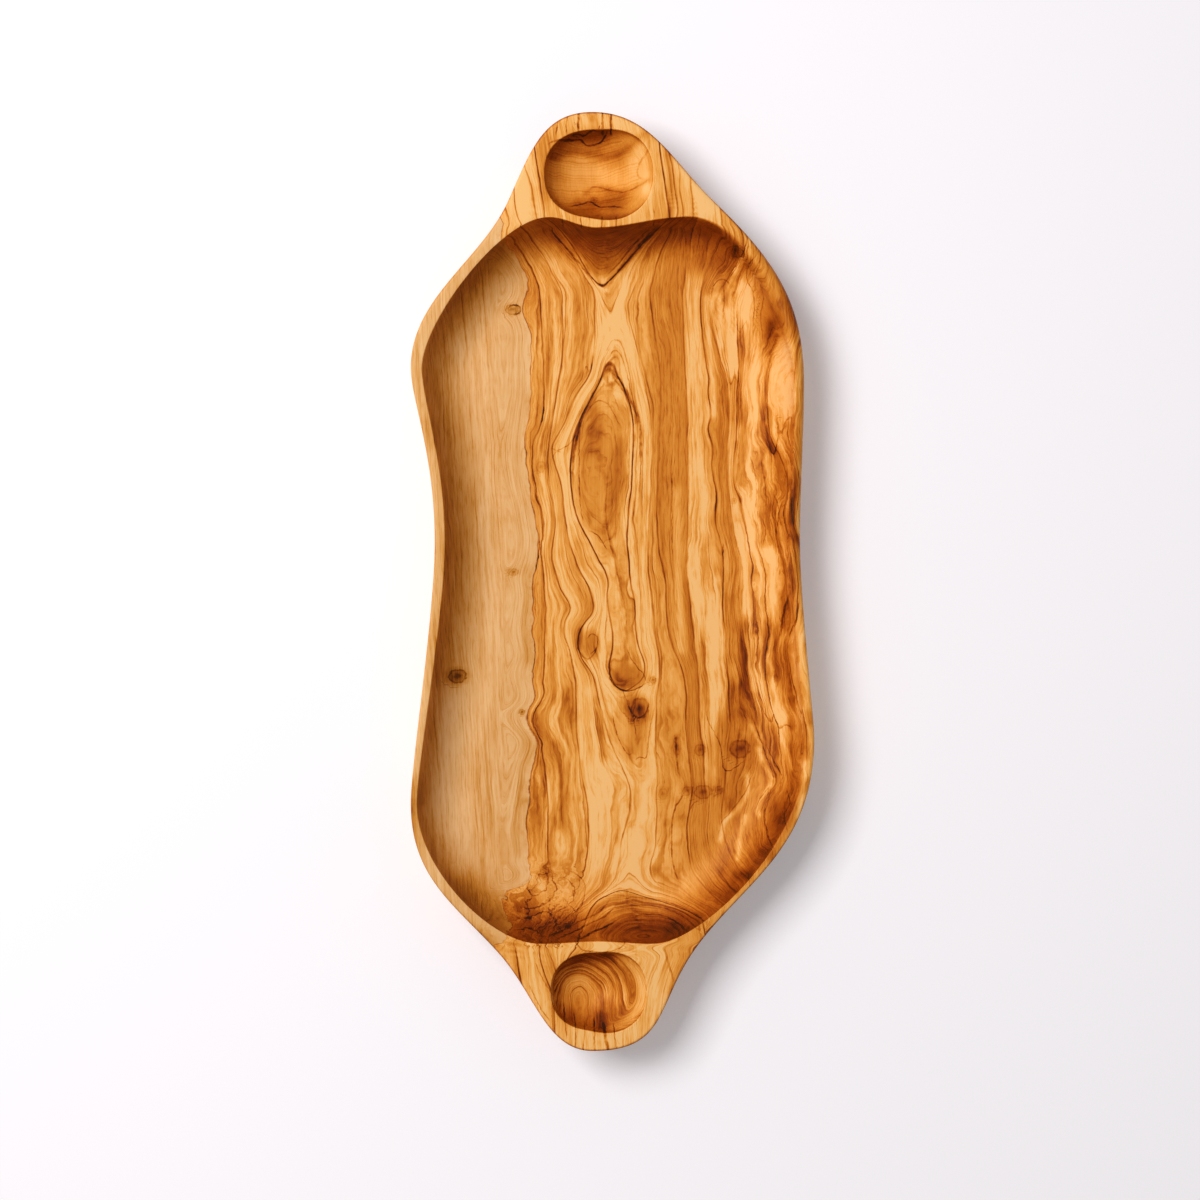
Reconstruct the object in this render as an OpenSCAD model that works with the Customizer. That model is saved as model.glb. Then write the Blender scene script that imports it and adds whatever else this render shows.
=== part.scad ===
// Olive-wood dish: a shallow carved tray with a dip bowl sunk into the handle at each end.
// It stands on the XY plane with its length along Y, and the origin is under its middle.

/* [Overall] */
// Length from handle tip to handle tip
dish_length = 470; // [440:1:560]
// Width across the fullest part of the tray
dish_width = 202; // [192:1:240]
// Height of the rim above the table
dish_height = 36; // [32:1:48]

/* [Outline] */
// How far the handle tips lie left of the middle
tip_shift = 10; // [4:1:16]
// Upper handle's neck, from the middle to its left edge
upper_neck_left = 52; // [48:1:60]
// Upper handle's neck, from the middle to its right edge
upper_neck_right = 50; // [46:1:58]
// Distance of the upper neck from the upper tip
upper_neck_reach = 44; // [40:1:50]
// Lower handle's neck, from the middle to its left edge
lower_neck_left = 57; // [52:1:64]
// Lower handle's neck, from the middle to its right edge
lower_neck_right = 40; // [36:1:48]
// Distance of the lower neck from the lower tip
lower_neck_reach = 49; // [45:1:54]
// Distance of the left upper swell from the upper tip
left_upper_reach = 128; // [120:1:140]
// Distance of the left lower swell from the lower tip
left_lower_reach = 124; // [116:1:136]
// Distance of the right upper swell from the upper tip
right_upper_reach = 135; // [126:1:144]
// Distance of the right lower swell from the lower tip
right_lower_reach = 156; // [144:1:166]
// How far the left side draws in at the waist
left_waist = 12; // [4:1:18]
// How far the right side draws in at the waist
right_waist = 7; // [3:1:14]
// How far the right upper swell stays inside the right lower one
right_upper_draw = 5; // [0:1:10]
// Distance of the waist above the middle
waist_shift = 20; // [0:1:30]

/* [Tray] */
// Depth of the tray below the rim
tray_depth = 25; // [16:0.5:27]
// Width of the rounded wall between the tray's edge and its floor
tray_cove = 26; // [18:1:34]
// Rim width at the left upper swell
rim_left_upper = 6; // [4:0.5:9]
// Rim width at the left waist
rim_left_waist = 5.5; // [4:0.5:9]
// Rim width at the left lower swell
rim_left_lower = 3.5; // [3:0.5:8]
// Rim width along the right side
rim_right = 5; // [3.5:0.5:9]
// Distance of the tray's upper corners from the upper tip
tray_upper_reach = 53; // [50:1:58]
// Distance of the tray's lower corners from the lower tip
tray_lower_reach = 54; // [52:1:60]
// Tray's upper left corner, from the middle
tray_upper_left = 32; // [28:1:36]
// Tray's upper right corner, from the middle
tray_upper_right = 36; // [30:1:40]
// Tray's lower left corner, from the middle
tray_lower_left = 37; // [32:1:40]
// Tray's lower right corner, from the middle
tray_lower_right = 21; // [17:1:26]
// Wood left between the tray and the upper bowl
upper_septum = 5.5; // [4:0.5:9]
// Wood left between the tray and the lower bowl
lower_septum = 6; // [4:0.5:9]

/* [Bowls] */
// Width of the upper bowl across the dish
upper_bowl_width = 52; // [40:1:58]
// Length of the upper bowl along the dish
upper_bowl_length = 43.5; // [36:0.5:46]
// Depth of the upper bowl
upper_bowl_depth = 15; // [8:0.5:19]
// Distance of the upper bowl's middle from the upper tip
upper_bowl_reach = 31; // [29:0.5:33]
// Width of the lower bowl across the dish
lower_bowl_width = 45.5; // [36:0.5:50]
// Length of the lower bowl along the dish
lower_bowl_length = 38.5; // [32:0.5:42]
// Depth of the lower bowl
lower_bowl_depth = 13; // [7:0.5:17]
// Distance of the lower bowl's middle from the lower tip
lower_bowl_reach = 30; // [28:0.5:32]
// How far the bowls' middles lie left of the dish's middle
bowl_shift = 8; // [5:0.5:12]

/* [Edges and foot] */
// Rounding of the rim's outer edge
rim_round = 1.5; // [0.5:0.25:2]
// Rounding of the edges round the tray and the bowls
lip_round = 0.75; // [0.5:0.25:1.25]
// How far the flat foot's edge lies inside the tray's edge
foot_inset = 14; // [8:1:24]
// Fullness of the outside wall, from 1.4 for a bevel to 2.4 for a belly
side_fullness = 1.7; // [1.4:0.1:2.4]

/* [Hidden] */

half_length = dish_length / 2;
half_width = dish_width / 2;
tray_floor = dish_height - tray_depth;
cut_margin = 1;

// Curve steps between two stops, and round a bowl
steps = 11;
bowl_steps = 48;
wall_rings = 10;
round_rings = 3;
bowl_rings = 8;
bowl_squareness = 2.3;
smallest_ring = 0.12;

upper_bowl_y = half_length - upper_bowl_reach;
lower_bowl_y = lower_bowl_reach - half_length;

// Middle line that the walls lean towards, and how far from the tips it stops
spine_x = -3;
spine_reach = 125;
spine_end = half_length - spine_reach;

// A stop of an outline is [x, y, heading, pull before, pull after]. The curve passes the stop along
// its heading, and a pull is the share of the run to the next stop that holds to that heading.
// Both outlines run from the upper end down the left side and back up the right, stop for stop.
rim_stops = [
    [-tip_shift, half_length, 180, 0.39, 0.40],
    [-upper_neck_left, half_length - upper_neck_reach, 246, 0.47, 0.34],
    [-half_width, half_length - left_upper_reach, 270, 0.36, 0.18],
    [left_waist - half_width, waist_shift, 270, 0.50, 0.28],
    [-half_width, left_lower_reach - half_length, 270, 0.15, 0.43],
    [-lower_neck_left, lower_neck_reach - half_length, 312, 0.38, 0.40],
    [-tip_shift, -half_length, 0, 0.34, 0.53],
    [lower_neck_right, lower_neck_reach - half_length, 56, 0.46, 0.33],
    [half_width, right_lower_reach - half_length, 90, 0.46, 0.12],
    [half_width - right_waist, waist_shift, 90, 0.33, 0.36],
    [half_width - right_upper_draw, half_length - right_upper_reach, 90, 0.37, 0.43],
    [upper_neck_right, half_length - upper_neck_reach, 136, 0.38, 0.37]
];

tray_upper_y = half_length - tray_upper_reach;
tray_lower_y = tray_lower_reach - half_length;
tray_stops = [
    [-bowl_shift, upper_bowl_y - upper_bowl_length / 2 - upper_septum, 180, 0.35, 0.35],
    [-tray_upper_left, tray_upper_y, 180, 0.35, 0.25],
    [rim_left_upper - half_width, half_length - left_upper_reach, 270, 0.22, 0.18],
    [left_waist + rim_left_waist - half_width, waist_shift, 270, 0.45, 0.28],
    [rim_left_lower - half_width, left_lower_reach - half_length, 270, 0.15, 0.36],
    [-tray_lower_left, tray_lower_y, 0, 0.25, 0.35],
    [-bowl_shift, lower_bowl_y + lower_bowl_length / 2 + lower_septum, 0, 0.35, 0.35],
    [tray_lower_right, tray_lower_y, 0, 0.35, 0.17],
    [half_width - rim_right, right_lower_reach - half_length, 90, 0.44, 0.12],
    [half_width - right_waist - rim_right, waist_shift, 90, 0.33, 0.36],
    [half_width - right_upper_draw - rim_right, half_length - right_upper_reach, 90, 0.37, 0.25],
    [tray_upper_right, tray_upper_y, 180, 0.28, 0.35]
];

// Curves

function place(stop) = [stop[0], stop[1]];
function direction(angle) = [cos(angle), sin(angle)];
function unit(v) = v / norm(v);

function bezier(a, b, c, d, t) =
    pow(1 - t, 3) * a + 3 * t * pow(1 - t, 2) * b + 3 * t * t * (1 - t) * c + pow(t, 3) * d;

function between(from, to, t) =
    let (run = norm(place(to) - place(from)))
    let (leave = place(from) + run * from[4] * direction(from[2]))
    let (arrive = place(to) - run * to[3] * direction(to[2]))
    bezier(place(from), leave, arrive, place(to), t);

function outline(stops) = [
    for (i = [0 : len(stops) - 1])
        for (j = [0 : steps - 1])
            between(stops[i], stops[(i + 1) % len(stops)], j / steps)
];

// Inward direction at point i of an outline that runs anticlockwise
function inward(loop, i) =
    let (count = len(loop))
    let (along = loop[(i + 1) % count] - loop[(i + count - 1) % count])
    unit([-along[1], along[0]]);

// An outline moved inwards by a distance, square to itself
function inset(loop, distance) = [
    for (i = [0 : len(loop) - 1]) loop[i] + distance * inward(loop, i)
];

// An outline moved by a distance towards the dish's middle line
function drawn_in(loop, distance) = [
    for (p = loop)
        let (middle = [spine_x, max(-spine_end, min(spine_end, p[1]))])
        p + distance * unit(middle - p)
];

// Points part of the way from one outline to another
function blend(from, to, share) = [
    for (i = [0 : len(from) - 1]) from[i] + share * (to[i] - from[i])
];

function at_height(loop, z) = [for (p = loop) [p[0], p[1], z]];

// Middle of a ring's points
function ring_middle(ring) = [for (p = ring) 1] * ring / len(ring);

// A superellipse's cosine and sine, with its power
function rounded_cos(angle, power) = sign(cos(angle)) * pow(abs(cos(angle)), 2 / power);
function rounded_sin(angle, power) = sign(sin(angle)) * pow(abs(sin(angle)), 2 / power);

// Solids

// Skin over a stack of rings, from the lowest to the highest, each closed by a fan at its ends
module loft(rings) {
    count = len(rings[0]);
    top = len(rings) - 1;
    points = [for (ring = rings) each ring];
    low_middle = len(points);
    high_middle = low_middle + 1;
    ends = [ring_middle(rings[0]), ring_middle(rings[top])];
    sides = [
        for (k = [0 : top - 1])
            for (i = [0 : count - 1])
                let (a = k * count + i)
                let (b = k * count + (i + 1) % count)
                each [[a, a + count, b + count], [a, b + count, b]]
    ];
    low_cap = [for (i = [0 : count - 1]) [low_middle, i, (i + 1) % count]];
    high_cap = [
        for (i = [0 : count - 1])
            [high_middle, top * count + (i + 1) % count, top * count + i]
    ];
    polyhedron(points = concat(points, ends), faces = concat(sides, low_cap, high_cap));
}

// Outside of the dish, from its flat foot up the rounded wall to the rim
module block() {
    rim = outline(rim_stops);
    foot = drawn_in(outline(tray_stops), foot_inset);
    wall_height = dish_height - rim_round;
    wall = [
        for (k = [0 : wall_rings])
            let (angle = 90 * k / wall_rings)
            let (share = 1 - rounded_sin(angle, side_fullness))
            let (z = wall_height * (1 - rounded_cos(angle, side_fullness)))
            at_height(blend(rim, foot, share), z)
    ];
    edge = [
        for (k = [1 : round_rings])
            let (angle = 90 * k / round_rings)
            let (z = wall_height + rim_round * sin(angle))
            at_height(inset(rim, rim_round * (1 - cos(angle))), z)
    ];
    loft(concat(wall, edge));
}

// Hollow of the tray, with a coved wall and a softened edge
module tray() {
    edge = outline(tray_stops);
    wall_top = dish_height - lip_round;
    wall = [
        for (k = [0 : wall_rings])
            let (angle = 90 * k / wall_rings)
            let (z = tray_floor + (wall_top - tray_floor) * (1 - cos(angle)))
            at_height(drawn_in(edge, tray_cove * (1 - sin(angle))), z)
    ];
    lip = [
        for (k = [1 : round_rings])
            let (angle = 90 * k / round_rings)
            at_height(inset(edge, -lip_round * (1 - cos(angle))), wall_top + lip_round * sin(angle))
    ];
    opening = at_height(inset(edge, -lip_round), dish_height + cut_margin);
    loft(concat(wall, lip, [opening]));
}

// Oval hollow of a dip bowl, with a softened edge
module bowl(width, length, depth, y) {
    function oval(grow, share) = [
        for (i = [0 : bowl_steps - 1])
            let (angle = 360 * i / bowl_steps)
            let (across = rounded_cos(angle, bowl_squareness) * (width / 2 * share + grow))
            let (along = rounded_sin(angle, bowl_squareness) * (length / 2 * share + grow))
            [across - bowl_shift, along + y]
    ];
    wall_depth = depth - lip_round;
    wall = [
        for (k = [0 : bowl_rings])
            let (share = smallest_ring + (1 - smallest_ring) * sin(90 * k / bowl_rings))
            let (z = dish_height - depth + wall_depth * (1 - sqrt(1 - share * share)))
            at_height(oval(0, share), z)
    ];
    lip = [
        for (k = [1 : round_rings])
            let (angle = 90 * k / round_rings)
            let (z = dish_height - lip_round + lip_round * sin(angle))
            at_height(oval(lip_round * (1 - cos(angle)), 1), z)
    ];
    opening = at_height(oval(lip_round, 1), dish_height + cut_margin);
    loft(concat(wall, lip, [opening]));
}

// The dish, carved from one block of olive wood
module dish_body() {
    color("#c98a45")
    difference() {
        block();
        tray();
        bowl(upper_bowl_width, upper_bowl_length, upper_bowl_depth, upper_bowl_y);
        bowl(lower_bowl_width, lower_bowl_length, lower_bowl_depth, lower_bowl_y);
    }
}

dish_body();
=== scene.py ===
"""Olive-wood dish: a shallow carved tray with a dip bowl sunk into the handle at each end.

The shape repeats the part's own curves with finer steps. The figure of the wood is worked out in the
solid plank, as rings round a pith that lies just above the dish, so that it runs unbroken from the
handles down the carved walls and over the floor. Lengths are in millimetres until a mesh is made.
"""

import logging
import math
from dataclasses import dataclass
from enum import Enum
from functools import partial

import bmesh
import bpy
import numpy as np
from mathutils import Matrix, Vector


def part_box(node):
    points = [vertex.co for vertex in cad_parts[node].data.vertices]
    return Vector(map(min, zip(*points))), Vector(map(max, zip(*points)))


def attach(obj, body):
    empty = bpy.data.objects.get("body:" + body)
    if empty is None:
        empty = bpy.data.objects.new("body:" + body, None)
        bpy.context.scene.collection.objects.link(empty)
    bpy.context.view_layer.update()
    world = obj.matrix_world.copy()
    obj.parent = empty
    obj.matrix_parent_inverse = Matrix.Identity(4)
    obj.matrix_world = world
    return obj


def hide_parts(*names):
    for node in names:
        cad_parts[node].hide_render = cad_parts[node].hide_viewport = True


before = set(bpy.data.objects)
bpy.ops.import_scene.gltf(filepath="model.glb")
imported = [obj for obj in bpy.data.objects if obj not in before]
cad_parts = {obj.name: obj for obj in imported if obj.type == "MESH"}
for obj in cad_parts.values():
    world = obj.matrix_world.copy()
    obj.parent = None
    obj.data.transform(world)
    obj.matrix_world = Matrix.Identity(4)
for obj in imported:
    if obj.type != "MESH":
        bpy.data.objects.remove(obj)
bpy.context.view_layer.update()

log = logging.getLogger("olive_dish")

Array = np.ndarray
Colour = tuple[float, float, float, float]
Span = tuple[float, float]
Size = tuple[float, float, float]
Points = tuple[tuple[float, float], ...]
Socket = bpy.types.NodeSocket

MM = 0.001


# Small helpers


def linear(hex_colour: str) -> Colour:
    """Turns an sRGB hex colour into linear light.

    Args:
        hex_colour: Six hex digits after a hash sign.

    Returns:
        Red, green, blue and an alpha of one.
    """
    srgb = np.array([int(hex_colour[i : i + 2], 16) / 255 for i in (1, 3, 5)])
    light = np.where(srgb <= 0.04045, srgb / 12.92, ((srgb + 0.055) / 1.055) ** 2.4)
    return (*light.tolist(), 1.0)


def smooth(low: float, high: float, value: Array) -> Array:
    """Rises from 0 at low to 1 at high along 3t² − 2t³."""
    t = np.clip((value - low) / (high - low), 0, 1)
    return t * t * (3 - 2 * t)


def unit(vectors: Array) -> Array:
    """Rows scaled to a length of one."""
    return vectors / np.linalg.norm(vectors, axis=-1, keepdims=True)


def spline(at: Array, stations: Array, values: Array) -> Array:
    """Reads a smooth curve through stations.

    Between two stations it is the cubic whose ends have the stations' values, and whose slopes there
    are those of the parabola through the neighbours.

    Args:
        at: Places to read.
        stations: Rising places where the values are known.
        values: The values there.

    Returns:
        The curve's value at each place, level beyond the ends.
    """
    slopes = np.gradient(values, stations)
    i = np.clip(np.searchsorted(stations, at) - 1, 0, len(stations) - 2)
    span = stations[i + 1] - stations[i]
    t = np.clip((at - stations[i]) / span, 0, 1)
    from_start = (1 + 2 * t) * (1 - t) ** 2 * values[i] + t * (1 - t) ** 2 * span * slopes[i]
    from_end = t * t * (3 - 2 * t) * values[i + 1] + t * t * (t - 1) * span * slopes[i + 1]
    return from_start + from_end


# Setting that a node's kind names after a space
CHOICES = {
    "Math": "operation",
    "VectorMath": "operation",
    "MapRange": "interpolation_type",
    "Mix": "data_type",
    "TexNoise": "noise_dimensions",
    "TexWhiteNoise": "noise_dimensions",
}


def wire(
    tree: bpy.types.NodeTree,
    kind: str,
    *inputs: object,
    out: int | str = 0,
    named: dict | None = None,
    ramp: list | None = None,
    **settings: object,
) -> Socket | None:
    """Adds a shader node with its settings and links.

    Args:
        tree: Node tree that takes it.
        kind: Node type, without the ShaderNode before it. Its operation or other choice follows a space.
        inputs: Value, or output socket to link, for each input in turn. None leaves one as it is.
        out: Name or number of the output to give back.
        named: Values or sockets of inputs that are better called by name.
        ramp: Position and colour, or grey, of each stop, where the node has a colour ramp.
        settings: Properties of the node.

    Returns:
        The chosen output, or None where the node has none.
    """
    kind, _, choice = kind.partition(" ")
    node = tree.nodes.new("ShaderNode" + kind)
    if choice:
        setattr(node, CHOICES[kind], choice)
    for name, value in settings.items():
        setattr(node, name, value)
    for key, value in [*enumerate(inputs), *(named or {}).items()]:
        if isinstance(value, Socket):
            tree.links.new(value, node.inputs[key])
        elif value is not None:
            node.inputs[key].default_value = value
    if ramp:
        stops = node.color_ramp.elements
        while len(stops) < len(ramp):
            stops.new(1.0)
        for stop, (position, colour) in zip(stops, ramp):
            stop.position = position
            stop.color = colour if isinstance(colour, tuple) else (colour, colour, colour, 1.0)
    return node.outputs[out] if node.outputs else None


def emptied(owner: bpy.types.Material | bpy.types.World) -> partial:
    """Empties the shader of a material or world.

    Args:
        owner: The material or world.

    Returns:
        The function that adds nodes to its shader.
    """
    owner.use_nodes = True
    owner.node_tree.nodes.clear()
    return partial(wire, owner.node_tree)


def seen_directly(node: partial) -> Socket:
    """Tells the rays that show a thing from those that only light something by it.

    Args:
        node: Adds a node to the shader.

    Returns:
        One for rays from the camera, a mirror or glass, else zero.
    """
    seen = node("LightPath", out="Is Camera Ray")
    for ray in ("Is Glossy Ray", "Is Transmission Ray"):
        seen = node("Math MAXIMUM", seen, node("LightPath", out=ray))
    return seen


def placed(name: str, data: bpy.types.ID) -> bpy.types.Object:
    """Makes an object of a mesh, lamp or camera, and puts it in the scene.

    Args:
        name: The object's name.
        data: What it shows.

    Returns:
        The object.
    """
    thing = bpy.data.objects.new(name, data)
    bpy.context.scene.collection.objects.link(thing)
    return thing


# Outlines


@dataclass(frozen=True)
class Stop:
    """A point that an outline passes along a heading in degrees.

    A pull is the share of the run to the next stop that holds to the heading.
    """

    x: float
    y: float
    heading: float
    pull_before: float
    pull_after: float

    def place(self) -> Array:
        """The stop's place in the plan."""
        return np.array((self.x, self.y))

    def ahead(self) -> Array:
        """Unit vector along the heading."""
        angle = math.radians(self.heading)
        return np.array((math.cos(angle), math.sin(angle)))


def run_between(start: Stop, end: Stop, steps: int) -> Array:
    """Draws the cubic Bezier curve from one stop to the next.

    Its inner control points lie along the two headings, at the pulls times the straight distance.

    Args:
        start: Stop that the curve leaves.
        end: Stop that it reaches.
        steps: Number of steps.

    Returns:
        One point for each step, without the last stop.
    """
    t = (np.arange(steps) / steps)[:, None]
    run = np.linalg.norm(end.place() - start.place())
    leave = start.place() + run * start.pull_after * start.ahead()
    arrive = end.place() - run * end.pull_before * end.ahead()
    near_start = (1 - t) ** 3 * start.place() + 3 * t * (1 - t) ** 2 * leave
    near_end = 3 * t * t * (1 - t) * arrive + t**3 * end.place()
    return near_start + near_end


def outline(stops: tuple[Stop, ...], spans: tuple[int, ...]) -> Array:
    """Joins the curves between stops into one closed loop, with the given steps in each span."""
    following = stops[1:] + stops[:1]
    return np.concatenate([run_between(a, b, n) for a, b, n in zip(stops, following, spans)])


def inset(loop: Array, distance: float | Array) -> Array:
    """Moves an anticlockwise loop inwards by a distance, square to itself."""
    along = np.roll(loop, -1, axis=0) - np.roll(loop, 1, axis=0)
    return loop + distance * unit(np.stack([-along[:, 1], along[:, 0]], axis=-1))


def at_height(loop: Array, z: float | Array) -> Array:
    """Lifts plan points to a height, or each to its own."""
    return np.column_stack([loop, np.broadcast_to(z, len(loop))])


def coons(loop: Array, corners: tuple[int, int, int, int]) -> Array:
    """Fills a closed loop with a four-sided grid.

    The grid is the Coons patch: the blend of the two ends, plus the blend of the two sides, less the
    bilinear blend of the four corners.

    Args:
        loop: Points of the loop, anticlockwise.
        corners: Numbers of its upper left, lower left, lower right and upper right corner points.

    Returns:
        Grid of points, rows from the lower end to the upper, columns from left to right.
    """
    upper_left, lower_left, lower_right, upper_right = corners
    left = loop[upper_left : lower_left + 1][::-1]
    low = loop[lower_left : lower_right + 1]
    right = loop[lower_right : upper_right + 1]
    high = np.concatenate([loop[upper_right:], loop[: upper_left + 1]])[::-1]
    s = np.linspace(0, 1, len(low))[None, :, None]
    t = np.linspace(0, 1, len(left))[:, None, None]
    ends = (1 - t) * low[None] + t * high[None]
    sides = (1 - s) * left[:, None] + s * right[:, None]
    low_corners = (1 - s) * low[0] + s * low[-1]
    high_corners = (1 - s) * high[0] + s * high[-1]
    return ends + sides - ((1 - t) * low_corners + t * high_corners)


class Skin:
    """Gathers the patches of one closed surface, and joins them where their edges meet."""

    weld_distance: float = 0.004

    def __init__(self) -> None:
        """Starts with no patches."""
        self.points: list[Array] = []
        self.faces: list[list[int]] = []
        self.count = 0

    def add(self, grid: Array, wraps: bool = False) -> Array:
        """Adds a grid of points with a quad between each four neighbours.

        Args:
            grid: Rows of columns of points, in millimetres.
            wraps: Whether the last column meets the first.

        Returns:
            The points' numbers, in the grid's layout.
        """
        rows, columns = grid.shape[:2]
        index = self.count + np.arange(rows * columns).reshape(rows, columns)
        self.points.append(grid.reshape(-1, 3))
        self.count += rows * columns
        across = np.hstack([index, index[:, :1]]) if wraps else index
        corners = across[:-1, :-1], across[:-1, 1:], across[1:, 1:], across[1:, :-1]
        self.faces += np.stack(corners, axis=-1).reshape(-1, 4).tolist()
        return index

    def mesh(self, name: str) -> bpy.types.Mesh:
        """Makes the mesh in metres, with doubles merged and faces outwards.

        Args:
            name: The mesh's name.

        Returns:
            The mesh.
        """
        mesh = bpy.data.meshes.new(name)
        mesh.from_pydata((np.concatenate(self.points) * MM).tolist(), [], self.faces)
        joined = bmesh.new()
        joined.from_mesh(mesh)
        bmesh.ops.remove_doubles(joined, verts=joined.verts, dist=self.weld_distance * MM)
        bmesh.ops.recalc_face_normals(joined, faces=joined.faces)
        joined.to_mesh(mesh)
        joined.free()
        mesh.shade_smooth()
        return mesh


# The dish


@dataclass(frozen=True)
class DipBowl:
    """Oval hollow in a handle: a superellipse in plan, with an elliptic bottom.

    Towards the soft heading its side is softer: the span holds the cosines of the angle to the heading
    between which the softness grows from none to its full share.
    """

    x: float
    y: float
    width: float
    length: float
    depth: float
    squareness: float = 2.3
    soft_heading: float = -10.0
    soft_span: Span = (-0.2, 0.75)
    soft_share: float = 0.75
    soft_reach: float = 4.0

    def edge(self, angles: Array) -> Array:
        """Finds how far the bowl's edge is from its middle.

        The superellipse's radius is (|cos/a|ⁿ + |sin/b|ⁿ) to the power −1/n.

        Args:
            angles: Directions from the bowl's middle, in radians.

        Returns:
            The radius in each direction.
        """
        across = np.abs(np.cos(angles) / (self.width / 2)) ** self.squareness
        along = np.abs(np.sin(angles) / (self.length / 2)) ** self.squareness
        return (across + along) ** (-1 / self.squareness)

    def share_out(self, place: Array) -> Array:
        """Distance of plan points from the middle, as a share of the way to the edge."""
        off = np.abs(place - (self.x, self.y)) / (self.width / 2, self.length / 2)
        return np.sum(off**self.squareness, axis=1) ** (1 / self.squareness)

    def hollow(self, angles: Array, top: float, lip: float, rings: int, lip_rings: int) -> Array:
        """Draws the bowl from its softened edge down to its middle.

        The bowl is a quarter ellipse under a quarter circle, in every direction. On the right it is
        blended with a softer hollow, whose depth is (1 − u²)² of the whole at a share u of the way out.

        Args:
            angles: Directions of the columns, in radians.
            top: Height of the rim.
            lip: Radius of the softened edge.
            rings: Rings down the wall.
            lip_rings: Rings round the edge.

        Returns:
            Grid of points, a ring in each row, the last one shrunk to the middle.
        """
        middle = np.array((self.x, self.y))
        edge = self.edge(angles)[None]
        round_lip = np.linspace(math.pi / 2, 0, lip_rings + 1)[:, None]
        down_wall = np.linspace(math.pi / 2, 0, rings + 1)[1:, None]
        radius = np.concatenate([edge + lip * (1 - np.cos(round_lip)), edge * np.sin(down_wall)])
        drop = np.concatenate([
            lip * (1 - np.sin(round_lip)), lip + (self.depth - lip) * np.cos(down_wall)])

        share = radius / radius[:1]
        soft = self.soft_share * smooth(*self.soft_span, np.cos(angles - math.radians(self.soft_heading)))
        radius = radius + soft * (share * (edge + self.soft_reach) - radius)
        drop = drop + soft * (self.depth * (1 - share**2) ** 2 - drop)
        ray = np.stack([np.cos(angles), np.sin(angles)], axis=-1)
        return np.dstack([middle + radius[:, :, None] * ray, top - drop])


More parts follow.
